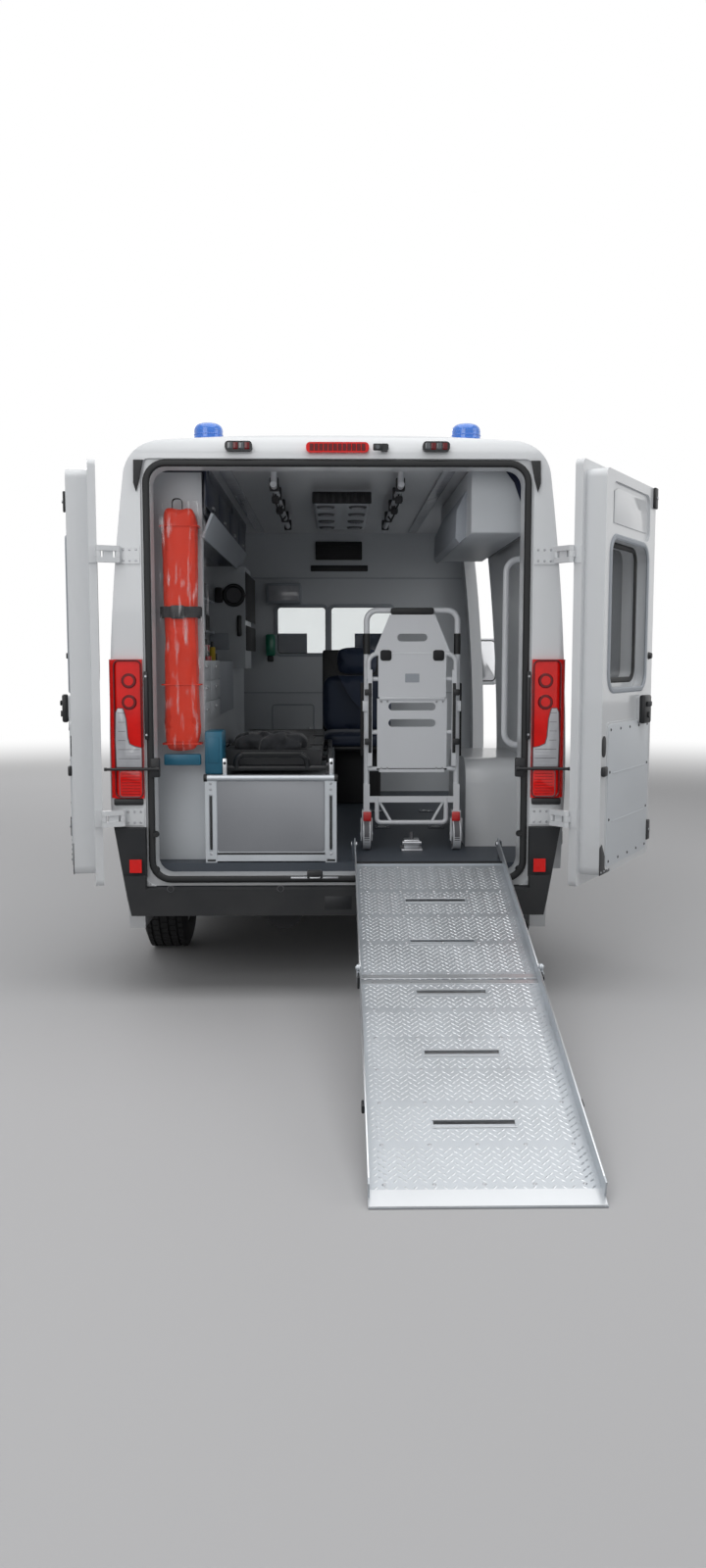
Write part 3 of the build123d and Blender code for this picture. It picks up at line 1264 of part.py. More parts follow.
rail_radius = 15.0
with BuildPart() as handrails:
    for x in (-300, 300):
        with Locations(Location((x, 300, 2350), (90, 0, 0))):
            Cylinder(rail_radius, 1900)
        for y in (-600, 1200):
            with Locations((x, y, (2350 + ceiling) / 2)):
                Cylinder(rail_radius, ceiling - 2350)
    with BuildLine() as rail_path:
        FilletPolyline((1000, -700, 1130), (790, -700, 1130), (790, -700, 2000), (1000, -700, 2000), radius=60)
    with BuildSketch(Plane(origin=rail_path.line @ 0, z_dir=rail_path.line % 0)):
        Circle(rail_radius)
    sweep(path=rail_path.line)
    add(lining, mode=Mode.INTERSECT)
handrails.part.label = "handrails"
export_step(handrails.part, "parts/handrails.step")

with BuildPart() as ceiling_console:
    with Locations((25, 600, ceiling - 35)):
        Box(300, 1200, 70)
    fillet(ceiling_console.edges().group_by(Axis.Z)[0], 20)
ceiling_console.part.label = "ceiling_console"
export_step(ceiling_console.part, "parts/ceiling_console.step")
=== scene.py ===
from math import atan2, cos, pi, radians, sin

import bmesh
import bpy
from mathutils import Matrix, Vector, noise


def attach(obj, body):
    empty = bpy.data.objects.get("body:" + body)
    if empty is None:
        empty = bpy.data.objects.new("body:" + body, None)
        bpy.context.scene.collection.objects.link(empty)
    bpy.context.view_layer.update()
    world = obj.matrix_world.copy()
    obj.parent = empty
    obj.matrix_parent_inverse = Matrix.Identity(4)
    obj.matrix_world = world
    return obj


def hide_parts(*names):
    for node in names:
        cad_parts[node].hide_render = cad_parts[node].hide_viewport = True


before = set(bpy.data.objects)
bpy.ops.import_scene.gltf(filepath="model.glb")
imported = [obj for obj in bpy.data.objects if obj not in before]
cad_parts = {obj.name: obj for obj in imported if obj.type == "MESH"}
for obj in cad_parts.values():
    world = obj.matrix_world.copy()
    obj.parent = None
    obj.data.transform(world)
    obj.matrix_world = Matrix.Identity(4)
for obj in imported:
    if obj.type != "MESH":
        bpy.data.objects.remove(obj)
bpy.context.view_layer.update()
print("frame loaded:", len(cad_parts), "nodes")

# camera at the photograph's place: behind the van, a little left of its middle
camera = {"place": (-0.015, -6.270, 1.530), "pitch": 84.0, "turn": -0.9, "lens": 27.0, "sensor": 36.0,
          "farthest": 200.0}
lens = bpy.data.cameras.new("photoCamera")
lens.lens = camera["lens"]
lens.sensor_width = camera["sensor"]
lens.sensor_fit = "AUTO"
lens.clip_end = camera["farthest"]
cameraObject = bpy.data.objects.new("photoCamera", lens)
cameraObject.location = camera["place"]
cameraObject.rotation_euler = (radians(camera["pitch"]), 0.0, radians(camera["turn"]))
bpy.context.scene.collection.objects.link(cameraObject)
bpy.context.scene.camera = cameraObject


# node groups that the finishes share
def newGroup(name, inputs, outputs):
    group = bpy.data.node_groups.new(name, "ShaderNodeTree")
    for label, value in inputs:
        kind = "NodeSocketVector" if isinstance(value, tuple) else "NodeSocketFloat"
        socket = group.interface.new_socket(label, in_out="INPUT", socket_type=kind)
        socket.default_value = value
    for label in outputs:
        group.interface.new_socket(label, in_out="OUTPUT", socket_type="NodeSocketFloat")
    source = group.nodes.new("NodeGroupInput")
    target = group.nodes.new("NodeGroupOutput")
    return group, source, target


def mathNode(tree, kind, first, second=None):
    node = tree.nodes.new("ShaderNodeMath")
    node.operation = kind
    for index, value in enumerate((first, second)):
        if value is None:
            continue
        if isinstance(value, (int, float)):
            node.inputs[index].default_value = value
        else:
            tree.links.new(value, node.inputs[index])
    return node.outputs[0]


def objectPoint(tree, scale=None):
    point = tree.nodes.new("ShaderNodeTexCoord").outputs["Object"]
    if scale is None:
        return point
    mapping = tree.nodes.new("ShaderNodeVectorMath")
    mapping.operation = "MULTIPLY"
    tree.links.new(point, mapping.inputs[0])
    if isinstance(scale, tuple):
        mapping.inputs[1].default_value = scale
    else:
        tree.links.new(scale, mapping.inputs[1])
    return mapping.outputs[0]


def makeGrainGroup():
    inputs = [("Scale", 300.0), ("PatchScale", 3.0), ("Stretch", (1.0, 1.0, 1.0))]
    group, source, target = newGroup("surfaceGrain", inputs, ["Height", "Patch"])
    point = objectPoint(group, source.outputs["Stretch"])
    fine = group.nodes.new("ShaderNodeTexNoise")
    fine.inputs["Detail"].default_value = 3.0
    group.links.new(point, fine.inputs["Vector"])
    group.links.new(source.outputs["Scale"], fine.inputs["Scale"])
    broad = group.nodes.new("ShaderNodeTexNoise")
    broad.inputs["Detail"].default_value = 4.0
    group.links.new(objectPoint(group), broad.inputs["Vector"])
    group.links.new(source.outputs["PatchScale"], broad.inputs["Scale"])
    group.links.new(fine.outputs["Fac"], target.inputs["Height"])
    group.links.new(broad.outputs["Fac"], target.inputs["Patch"])
    return group


def makeFilmGroup():
    inputs = [("Low", 0.0), ("High", 1.0), ("Amount", 0.5)]
    group, source, target = newGroup("roadFilm", inputs, ["Mask"])
    split = group.nodes.new("ShaderNodeSeparateXYZ")
    group.links.new(objectPoint(group), split.inputs[0])
    ramp = group.nodes.new("ShaderNodeMapRange")
    group.links.new(split.outputs["Z"], ramp.inputs["Value"])
    group.links.new(source.outputs["Low"], ramp.inputs["From Min"])
    group.links.new(source.outputs["High"], ramp.inputs["From Max"])
    ramp.inputs["To Min"].default_value = 1.0
    ramp.inputs["To Max"].default_value = 0.0
    blotch = group.nodes.new("ShaderNodeTexNoise")
    blotch.inputs["Scale"].default_value = 7.0
    blotch.inputs["Detail"].default_value = 5.0
    group.links.new(objectPoint(group), blotch.inputs["Vector"])
    mask = mathNode(group, "MULTIPLY", ramp.outputs[0], blotch.outputs["Fac"])
    group.links.new(mathNode(group, "MULTIPLY", mask, source.outputs["Amount"]), target.inputs["Mask"])
    return group


def makeWeaveGroup():
    group, source, target = newGroup("clothWeave", [("Threads", 900.0)], ["Height", "Tone"])
    split = group.nodes.new("ShaderNodeSeparateXYZ")
    group.links.new(objectPoint(group), split.inputs[0])
    across = mathNode(group, "ADD", split.outputs["X"], split.outputs["Y"])
    waves = [mathNode(group, "SINE", mathNode(group, "MULTIPLY", axis, source.outputs["Threads"]))
             for axis in (across, split.outputs["Z"])]
    cross = mathNode(group, "MULTIPLY", waves[0], waves[1])
    group.links.new(mathNode(group, "MULTIPLY_ADD", cross, 0.5), target.inputs["Height"])
    group.links.new(mathNode(group, "ABSOLUTE", cross), target.inputs["Tone"])
    return group


grainGroup = makeGrainGroup()
filmGroup = makeFilmGroup()
weaveGroup = makeWeaveGroup()


def placeGroup(tree, group, values):
    node = tree.nodes.new("ShaderNodeGroup")
    node.node_tree = group
    for label, value in values.items():
        node.inputs[label].default_value = value
    return node


def mixColor(tree, factor, first, second):
    node = tree.nodes.new("ShaderNodeMix")
    node.data_type = "RGBA"
    tree.links.new(factor, node.inputs["Factor"])
    for socket, value in ((node.inputs[6], first), (node.inputs[7], second)):
        if isinstance(value, tuple):
            socket.default_value = (*value, 1.0)
        else:
            tree.links.new(value, socket)
    return node.outputs[2]


# shared by every finish: tint of the road film, spread of the roughness, band of grain heights where a
# crinkled film gets its painted whitish highlight, tone between threads
surface = {"filmColor": (0.16, 0.15, 0.14), "roughSpread": (0.8, 1.25), "highlightCreaseBand": (0.55, 0.72),
           "threadTone": 0.6, "coatRough": 0.06, "glassIndex": 1.45}


# one finish: colour drifts in broad patches, fine grain lifts the surface, road film dulls it near the ground
def makeFinish(name, spec):
    material = bpy.data.materials.new(name)
    material.use_nodes = True
    tree = material.node_tree
    shader = tree.nodes["Principled BSDF"]
    color = spec["color"]
    drift = spec.get("drift", 0.08)
    values = {"Scale": spec.get("grain", 400.0), "PatchScale": spec.get("patch", 3.0),
              "Stretch": spec.get("stretch", (1.0, 1.0, 1.0))}
    grain = placeGroup(tree, grainGroup, values)
    darker = tuple(c * (1 - drift) for c in color)
    lighter = tuple(min(1.0, c * (1 + drift)) for c in color)
    base = mixColor(tree, grain.outputs["Patch"], darker, lighter)
    if spec.get("weave"):
        weave = placeGroup(tree, weaveGroup, {"Threads": spec["weave"]})
        base = mixColor(tree, weave.outputs["Tone"], base, tuple(c * surface["threadTone"] for c in color))
        height = weave.outputs["Height"]
    else:
        height = grain.outputs["Height"]
    if spec.get("film"):
        film = placeGroup(tree, filmGroup, dict(zip(("Low", "High", "Amount"), spec["film"])))
        base = mixColor(tree, film.outputs["Mask"], base, surface["filmColor"])
    tree.links.new(base, shader.inputs["Base Color"])
    rough = tree.nodes.new("ShaderNodeMapRange")
    tree.links.new(grain.outputs["Patch"], rough.inputs["Value"])
    smoothest, roughest = (spec["rough"] * share for share in surface["roughSpread"])
    rough.inputs["To Min"].default_value = smoothest
    rough.inputs["To Max"].default_value = min(1.0, roughest)
    tree.links.new(rough.outputs[0], shader.inputs["Roughness"])
    if spec.get("bump", 0.1):
        bump = tree.nodes.new("ShaderNodeBump")
        bump.inputs["Strength"].default_value = spec.get("bump", 0.1)
        bump.inputs["Distance"].default_value = spec.get("depth", 0.0004)
        tree.links.new(height, bump.inputs["Height"])
        tree.links.new(bump.outputs["Normal"], shader.inputs["Normal"])
    if spec.get("highlightStreak"):  # painted highlight: a crinkled film turns whiter and less clear along its creases
        highlightStreak = tree.nodes.new("ShaderNodeMapRange")
        tree.links.new(grain.outputs["Height"], highlightStreak.inputs["Value"])
        highlightStreak.inputs["From Min"].default_value = surface["highlightCreaseBand"][0]
        highlightStreak.inputs["From Max"].default_value = surface["highlightCreaseBand"][1]
        highlightStreak.inputs["To Min"].default_value = spec["alpha"]
        highlightStreak.inputs["To Max"].default_value = spec["highlightStreak"]
        tree.links.new(highlightStreak.outputs[0], shader.inputs["Alpha"])
    shader.inputs["Metallic"].default_value = spec.get("metal", 0.0)
    shader.inputs["Coat Weight"].default_value = spec.get("coat", 0.0)
    shader.inputs["Coat Roughness"].default_value = surface["coatRough"]
    shader.inputs["Transmission Weight"].default_value = spec.get("clear", 0.0)
    shader.inputs["IOR"].default_value = spec.get("ior", surface["glassIndex"])
    shader.inputs["Alpha"].default_value = spec.get("alpha", 1.0)
    shader.inputs["Sheen Weight"].default_value = spec.get("sheen", 0.0)
    return material


# each finish carries the name of a material slot
# film is (low, high, amount) of the road film
finishes = {
    "paintWhite": {"slot": "white_paint", "color": (0.70, 0.72, 0.74), "rough": 0.32, "coat": 0.6,
                   "bump": 0.03, "drift": 0.02, "film": (0.25, 1.1, 0.35)},
    "hingeWhite": {"slot": "white_paint", "color": (0.68, 0.70, 0.72), "rough": 0.38, "coat": 0.3,
                   "bump": 0.05, "drift": 0.04},
    "trimBlack": {"slot": "grey_plastic", "color": (0.016, 0.018, 0.021), "rough": 0.62, "bump": 0.5,
                  "grain": 900.0, "film": (0.2, 0.9, 0.25), "ior": 1.36},
    "rubberBlack": {"slot": "black_plastic", "color": (0.010, 0.011, 0.012), "rough": 0.55, "bump": 0.2},
    "plasticBlack": {"slot": "black_plastic", "color": (0.012, 0.013, 0.015), "rough": 0.42, "bump": 0.25,
                     "grain": 700.0},
    "lampRed": {"slot": "lamp_red", "color": (0.78, 0.006, 0.004), "rough": 0.12, "coat": 0.35, "bump": 0.0,
                "drift": 0.22, "patch": 18.0, "ior": 1.30},
    "lampDark": {"slot": "lamp_red", "color": (0.14, 0.003, 0.006), "rough": 0.15, "coat": 0.4, "bump": 0.0,
                 "ior": 1.30},
    "lampClear": {"slot": "lamp_clear", "color": (0.46, 0.47, 0.50), "rough": 0.16, "coat": 1.0, "bump": 0.25,
                  "grain": 90.0, "depth": 0.002, "drift": 0.2, "patch": 22.0},
    "lampSmoke": {"slot": "lamp_clear", "color": (0.13, 0.135, 0.15), "rough": 0.10, "coat": 1.0, "bump": 0.2,
                  "grain": 60.0, "depth": 0.001, "drift": 0.4, "patch": 14.0},
    "chrome": {"slot": "aluminium", "color": (0.75, 0.76, 0.78), "rough": 0.15, "metal": 1.0, "bump": 0.0},
    "beaconBlue": {"slot": "beacon_blue", "color": (0.004, 0.17, 0.72), "rough": 0.15, "coat": 1.0,
                   "bump": 0.0, "drift": 0.2, "patch": 25.0},
    "glassDark": {"slot": "dark_glass", "color": (0.055, 0.065, 0.075), "rough": 0.06, "coat": 1.0,
                  "bump": 0.0},
    "glassClear": {"slot": "clear_glass", "color": (0.80, 0.86, 0.86), "rough": 0.03, "clear": 0.95,
                   "bump": 0.0, "alpha": 0.35},
    "sheetAluminium": {"slot": "aluminium", "color": (0.50, 0.53, 0.56), "rough": 0.42, "metal": 0.75,
                       "bump": 0.15, "grain": 260.0, "stretch": (6.0, 1.0, 1.0), "drift": 0.10, "patch": 5.0},
    "barAluminium": {"slot": "aluminium", "color": (0.60, 0.62, 0.64), "rough": 0.30, "metal": 0.85,
                     "bump": 0.1, "grain": 500.0, "stretch": (1.0, 8.0, 8.0)},
    "zincSteel": {"slot": "steel", "color": (0.42, 0.43, 0.45), "rough": 0.35, "metal": 0.9, "bump": 0.15},
    "castDark": {"slot": "cast_iron", "color": (0.035, 0.035, 0.038), "rough": 0.75, "metal": 0.3,
                 "bump": 0.5, "grain": 250.0, "drift": 0.3},
    "tyreRubber": {"slot": "tyre_rubber", "color": (0.020, 0.020, 0.021), "rough": 0.78, "bump": 0.4,
                   "grain": 600.0, "drift": 0.25, "patch": 8.0},
    "rimSilver": {"slot": "rim_grey", "color": (0.34, 0.35, 0.37), "rough": 0.4, "metal": 0.6, "bump": 0.1,
                  "film": (0.1, 0.5, 0.6)},
    "liningWhite": {"slot": "lining_white", "color": (0.58, 0.61, 0.64), "rough": 0.40, "bump": 0.25,
                    "grain": 380.0, "drift": 0.03},
    "liningGrey": {"slot": "lining_white", "color": (0.36, 0.39, 0.43), "rough": 0.5, "bump": 0.3,
                   "grain": 380.0},
    "floorVinyl": {"slot": "floor_grey", "color": (0.045, 0.055, 0.070), "rough": 0.48, "bump": 0.35,
                   "grain": 500.0, "drift": 0.30, "patch": 420.0},
    "lockerNavy": {"slot": "seat_blue", "color": (0.006, 0.012, 0.040), "rough": 0.30, "coat": 0.4,
                   "bump": 0.1},
    "seatVinyl": {"slot": "seat_blue", "color": (0.010, 0.022, 0.055), "rough": 0.48, "bump": 0.55,
                  "grain": 650.0, "drift": 0.2, "sheen": 0.2},
    "bagOrange": {"slot": "bag_orange", "color": (0.90, 0.040, 0.008), "rough": 0.42, "bump": 0.3,
                  "weave": 2600.0, "drift": 0.20, "patch": 12.0, "ior": 1.30},
    # the clear film's highlight streak paints whitish highlights along its creases
    "filmClear": {"slot": "clear_glass", "color": (0.82, 0.80, 0.82), "rough": 0.12, "bump": 0.4,
                  "alpha": 0.03, "depth": 0.003, "highlightStreak": 0.45, "grain": 26.0, "stretch": (1.6, 1.0, 0.28),
                  "coat": 0.8},
    "clothDark": {"slot": "seat_blue", "color": (0.016, 0.018, 0.022), "rough": 0.85, "bump": 0.6,
                  "weave": 1900.0, "drift": 0.30, "patch": 9.0, "sheen": 0.15},
    "webbingBlack": {"slot": "black_plastic", "color": (0.010, 0.010, 0.012), "rough": 0.7, "bump": 0.5,
                     "weave": 3200.0},
    "chairWhite": {"slot": "chair_white", "color": (0.68, 0.70, 0.73), "rough": 0.35, "coat": 0.3,
                   "bump": 0.06, "drift": 0.03},
    "castorGrey": {"slot": "black_plastic", "color": (0.12, 0.12, 0.13), "rough": 0.6, "bump": 0.2},
    "tealPlastic": {"slot": "seat_blue", "color": (0.012, 0.115, 0.19), "rough": 0.36, "bump": 0.15},
    "greenPlastic": {"slot": "grey_plastic", "color": (0.010, 0.22, 0.13), "rough": 0.3, "coat": 0.4,
                     "bump": 0.1},
    "panelGrey": {"slot": "aluminium", "color": (0.27, 0.28, 0.30), "rough": 0.42, "metal": 0.35, "bump": 0.2,
                  "grain": 600.0, "stretch": (1.0, 1.0, 0.1)},
    "redPlastic": {"slot": "lamp_red", "color": (0.60, 0.012, 0.012), "rough": 0.3, "coat": 0.5,
                   "bump": 0.05},
    "yellowCloth": {"slot": "bag_orange", "color": (0.62, 0.42, 0.02), "rough": 0.6, "weave": 2600.0,
                    "bump": 0.3},
}
looks = {name: makeFinish(name, spec) for name, spec in finishes.items()}
print("finishes made:", len(looks))

# the CAD nodes that stay take a finish each
nodeLooks = {
    "paintWhite": ["side_wall_left", "side_wall_right", "roof", "rear_frame", "front_end", "bonnet",
                   "cab_door_left", "cab_door_right", "sliding_door", "rear_door_left", "rear_door_right"],
    "hingeWhite": ["hinge_links_left", "hinge_links_right"],
    "trimBlack": ["front_bumper", "rear_bumper", "grille", "dashboard"],
    "plasticBlack": ["edge_lamps", "steering_wheel", "stretcher"],
    "floorVinyl": ["floor"],
    "liningWhite": ["bulkhead", "left_cabinets", "ceiling_console"],
    "lockerNavy": ["overhead_lockers"],
    "glassClear": ["front_glass", "bulkhead_glass", "cab_glass_left", "cab_glass_right"],
    "glassDark": ["sliding_glass", "rear_glass_left", "rear_glass_right"],
    "lampRed": ["tail_lamps", "brake_lamp"],
    "lampSmoke": ["headlamps"],
    "beaconBlue": ["beacons"],
    "sheetAluminium": ["ramp_upper", "ramp_lower", "stretcher_platform"],
    "rimSilver": ["rim_front_left", "rim_front_right", "rim_rear_left", "rim_rear_right"],
    "tyreRubber": ["tyre_front_left", "tyre_front_right", "tyre_rear_left", "tyre_rear_right"],
    "castDark": ["knuckle_left", "knuckle_right", "front_subframe", "rear_axle", "chassis", "engine_block"],
    "seatVinyl": ["cab_seats", "attendant_seat"],
    "bagOrange": ["rescue_bag"],
    "chairWhite": ["stair_chair", "handrails"],
}
for look, names in nodeLooks.items():
    for name in names:
        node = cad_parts[name]
        node.data.materials.clear()
        node.data.materials.append(looks[look])


# modelling helpers: a piece is joined from simple parts, each wearing one finish
def startPiece():
    return {"mesh": bmesh.new(), "looks": []}


def addPart(piece, part, look, place=None):
    if look not in piece["looks"]:
        piece["looks"].append(look)
    for face in part.faces:
        face.material_index = piece["looks"].index(look)
        face.smooth = True
    if place is not None:
        bmesh.ops.transform(part, matrix=place, verts=part.verts)
        if place.determinant() < 0:
            bmesh.ops.reverse_faces(part, faces=part.faces)
    data = bpy.data.meshes.new("part")
    part.to_mesh(data)
    part.free()
    piece["mesh"].from_mesh(data)
    bpy.data.meshes.remove(data)


def finishPiece(piece, name, body, replaced=(), angle=32.0):
    data = bpy.data.meshes.new(name)
    piece["mesh"].to_mesh(data)
    piece["mesh"].free()
    for look in piece["looks"]:
        data.materials.append(looks[look])
    data.set_sharp_from_angle(angle=radians(angle))
    made = bpy.data.objects.new(name, data)
    bpy.context.scene.collection.objects.link(made)
    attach(made, body)
    if replaced:
        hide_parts(*replaced)
    return made


fineBevel = 0.0016  # a box bevelled by less than this gets one segment


def bevelEdges(part, edges, amount, segments=2):
    bmesh.ops.bevel(part, geom=edges, offset=amount, offset_type="OFFSET", segments=segments, profile=0.5,
                    affect="EDGES", clamp_overlap=True, material=-1)


def boxPart(low, high, bevel=0.0):
    part = bmesh.new()
    bmesh.ops.create_cube(part, size=1.0)
    bmesh.ops.scale(part, vec=[abs(b - a) for a, b in zip(low, high)], verts=part.verts)
    bmesh.ops.translate(part, vec=[(a + b) / 2 for a, b in zip(low, high)], verts=part.verts)
    if bevel:
        bevelEdges(part, part.edges[:], bevel, 1 if bevel < fineBevel else 2)
    return part


def rodPart(start, end, radius, sides=16, tip=None):
    part = bmesh.new()
    along = Vector(end) - Vector(start)
    bmesh.ops.create_cone(part, cap_ends=True, segments=sides, radius1=radius,
                          radius2=radius if tip is None else tip, depth=along.length)
    turn = along.to_track_quat("Z", "Y").to_matrix().to_4x4()
    middle = Matrix.Translation((Vector(start) + Vector(end)) / 2)
    bmesh.ops.transform(part, matrix=middle @ turn, verts=part.verts)
    return part


# a low screw or rivet head
def headPart(place, radius, height, axis=(0, -1, 0), sides=12):
    part = bmesh.new()
    bmesh.ops.create_cone(part, cap_ends=True, segments=sides, radius1=radius, radius2=radius * 0.55,
                          depth=height)
    turn = Vector(axis).to_track_quat("Z", "Y").to_matrix().to_4x4()
    bmesh.ops.transform(part, matrix=Matrix.Translation(place) @ turn, verts=part.verts)
    return part


# rounded rectangle as a closed run of points, counterclockwise
def roundedLoop(low, high, corner, steps=5):
    points = []
    for turn, (u, v) in enumerate(((high[0] - corner, high[1] - corner), (low[0] + corner, high[1] - corner),
                                   (low[0] + corner, low[1] + corner), (high[0] - corner, low[1] + corner))):
        for step in range(steps + 1):
            angle = pi / 2 * (turn + step / steps)
            points.append((u + corner * cos(angle), v + corner * sin(angle)))
    return points


# the same at one Y or at one Z, as a path for a seal, a rim or a strap
def rimPath(low, high, corner, depth, steps=5):
    return [(u, depth, v) for u, v in roundedLoop(low, high, corner, steps)]


def levelPath(low, high, corner, height, steps=5):
    return [(u, w, height) for u, w in roundedLoop(low, high, corner, steps)]


# a circle round a middle, in the plane of two axes: 0 is X, 1 is Y, 2 is Z
def circlePath(middle, radius, steps, axes):
    points = [Vector(middle) for k in range(steps)]
    for k, point in enumerate(points):
        point[axes[0]] += radius * cos(2 * pi * k / steps)
        point[axes[1]] += radius * sin(2 * pi * k / steps)
    return points


# sections for sweepPart: round, flat band, and strip with sloped shoulders
def circleSection(radius, sides=10):
    return [(radius * cos(2 * pi * k / sides), radius * sin(2 * pi * k / sides)) for k in range(sides)]


def bandSection(half, reach):
    return [(-half, -reach), (half, -reach), (half, reach), (-half, reach)]


def stripSection(base, foot, top, crown):
    return [(-base, foot), (base, foot), (top, crown), (-top, crown)]


# an outline in X and Z made solid between two values of Y, with its rims bevelled
def platePart(outline, front, back, bevel=0.0):
    part = bmesh.new()
    face = part.faces.new([part.verts.new((u, front, v)) for u, v in outline])
    grown = bmesh.ops.extrude_face_region(part, geom=[face])
    moved = [item for item in grown["geom"] if isinstance(item, bmesh.types.BMVert)]
    bmesh.ops.translate(part, vec=(0.0, back - front, 0.0), verts=moved)
    bmesh.ops.recalc_face_normals(part, faces=part.faces)
    if bevel:
        rims = [edge for edge in part.edges if abs(edge.verts[0].co.y - edge.verts[1].co.y) < 1e-6]
        bevelEdges(part, rims, bevel)
    return part


# a closed section carried along a path; side is the way that the section's second axis faces
def sweepPart(points, section, closed=False, side=(0, 1, 0)):
    part = bmesh.new()
    path = [Vector(point) for point in points]
    count = len(path)
    rings = []
    for index, point in enumerate(path):
        before = path[index - 1] if closed or index else point
        after = path[(index + 1) % count] if closed or index < count - 1 else point
        along = (after - before).normalized()
        up = Vector(side)
        up = (up - along * up.dot(along)).normalized()
        across = along.cross(up)
        rings.append([part.verts.new(point + across * u + up * v) for u, v in section])
    for index in range(count if closed else count - 1):
        first, second = rings[index], rings[(index + 1) % count]
        for k in range(len(section)):
            m = (k + 1) % len(section)
            part.faces.new((first[k], first[m], second[m], second[k]))
    if not closed:
        part.faces.new(rings[0])
        part.faces.new(rings[-1])
    bmesh.ops.recalc_face_normals(part, faces=part.faces)
    return part


# corners of a path rounded off, so that a tube bends instead of kinking
def bendPath(points, radius, steps=5):
    path = [Vector(point) for point in points]
    bent = [path[0]]
    for before, corner, after in zip(path, path[1:], path[2:]):
        first, second = (before - corner).normalized(), (after - corner).normalized()
        reach = min(radius, (before - corner).length * 0.49, (after - corner).length * 0.49)
        start, end = corner + first * reach, corner + second * reach
        for step in range(steps + 1):
            t = step / steps
            bent.append(start * (1 - t) ** 2 + corner * 2 * t * (1 - t) + end * t ** 2)
    bent.append(path[-1])
    return bent


# an outline of (radius, along) turned fully about the X axis
def turnedPart(outline, middle, steps=48):
    part = bmesh.new()
    run = [part.verts.new((along, 0.0, radius)) for radius, along in outline]
    edges = [part.edges.new(pair) for pair in zip(run, run[1:])]
    bmesh.ops.spin(part, geom=run + edges, cent=(0, 0, 0), axis=(1, 0, 0), angle=2 * pi, steps=steps,
                   use_merge=True)
    bmesh.ops.remove_doubles(part, verts=part.verts, dist=1e-5)
    bmesh.ops.recalc_face_normals(part, faces=part.faces)
    bmesh.ops.translate(part, vec=middle, verts=part.verts)
    return part


# rows for several parts: boxes as (low, high, bevel, look), rods as (start, end, radius, end radius,
# sides, look)
def addBoxes(piece, rows, place=None):
    for low, high, bevel, look in rows:
        addPart(piece, boxPart(low, high, bevel), look, place)


def addRods(piece, rows, place=None):
    for start, end, radius, tip, sides, look in rows:
        addPart(piece, rodPart(start, end, radius, sides, tip), look, place)


# plates as (outline, front, back, bevel, look), and equal boxes in a row as (first box's row, step, count)
def addPlates(piece, rows, place=None):
    for outline, front, back, bevel, look in rows:
        addPart(piece, platePart(outline, front, back, bevel), look, place)


def addRuns(piece, rows, place=None):
    for (low, high, bevel, look), step, count in rows:
        for k in range(count):
            shift = Vector(step) * k
            addPart(piece, boxPart(Vector(low) + shift, Vector(high) + shift, bevel), look, place)


def addHeads(piece, places, radius, height, axis, look, place=None, sides=12):
    for spot in places:
        addPart(piece, headPart(spot, radius, height, axis, sides), look, place)


# a soft block: a box rounded off as a superellipsoid, with low folds pressed into it
def pillowPart(low, high, power, cuts, folds, foldSize, seed=0.0):
    part = bmesh.new()
    bmesh.ops.create_cube(part, size=2.0)
    bmesh.ops.subdivide_edges(part, edges=part.edges[:], cuts=cuts, use_grid_fill=True)
    middle = Vector([(a + b) / 2 for a, b in zip(low, high)])
    half = [(b - a) / 2 for a, b in zip(low, high)]
    for vert in part.verts:
        x, y, z = vert.co
        size = (abs(x) ** power + abs(y) ** power + abs(z) ** power) ** (1 / power)
        spot = Vector((x / size * half[0], y / size * half[1], z / size * half[2])) + middle
        dent = noise.noise(Vector((spot.x * foldSize, spot.y * foldSize, spot.z * foldSize * 0.6 + seed)))
        vert.co = spot - (spot - middle).normalized() * folds * max(0.0, dent + 0.25)
    bmesh.ops.recalc_face_normals(part, faces=part.faces)
    return part


# cloth pass on a pad: even skin, air pressure, movement held to the cap, then one smoothing level
def puffPad(made, voxel, cap):
    scene = bpy.context.scene
    remesh = made.modifiers.new("evenSkin", "REMESH")
    remesh.mode = "VOXEL"
    remesh.voxel_size = voxel
    skin = bpy.data.meshes.new_from_object(made.evaluated_get(bpy.context.evaluated_depsgraph_get()))
    made.modifiers.clear()
    made.data = skin
    start = [vert.co.copy() for vert in skin.vertices]
    cloth = made.modifiers.new("air", "CLOTH")
    cloth.settings.quality = 4
    cloth.settings.use_pressure = True
    cloth.settings.uniform_pressure_force = 4.0
    cloth.settings.effector_weights.gravity = 0.0
    for step in range(1, 21):
        scene.frame_set(step)
    swollen = made.evaluated_get(bpy.context.evaluated_depsgraph_get()).to_mesh()
    ends = [vert.co.copy() for vert in swollen.vertices]
    made.modifiers.clear()
    for vert, first, last in zip(skin.vertices, start, ends):
        shift = last - first
        vert.co = first + shift * min(1.0, cap / max(shift.length, 1e-6))
    for face in skin.polygons:
        face.use_smooth = True
    scene.frame_set(1)
    smooth = made.modifiers.new("smooth", "SUBSURF")
    smooth.levels = smooth.render_levels = 1
    print("pad swollen:", made.name, len(start), "points")
    return made


# one padded piece from its dictionary
def makePad(name, pad, replaced=()):
    piece = startPiece()
    addPart(piece, pillowPart(pad["low"], pad["high"], *pad["shape"]), pad["look"])
    made = puffPad(finishPiece(piece, name, "body", replaced, angle=60.0), pad["voxel"], pad["cap"])


# where a straight line meets a CAD node's surface, and the way the surface faces there
def onSurface(name, start, direction):
    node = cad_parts[name]
    inverse = node.matrix_world.inverted()
    way = (inverse.to_3x3() @ Vector(direction)).normalized()
    found, place, normal, face = node.ray_cast(inverse @ Vector(start), way)
    if not found:
        print("no surface met on", name, start)
        return Vector(start), -Vector(direction)
    return node.matrix_world @ place, (node.matrix_world.to_3x3() @ normal).normalized()


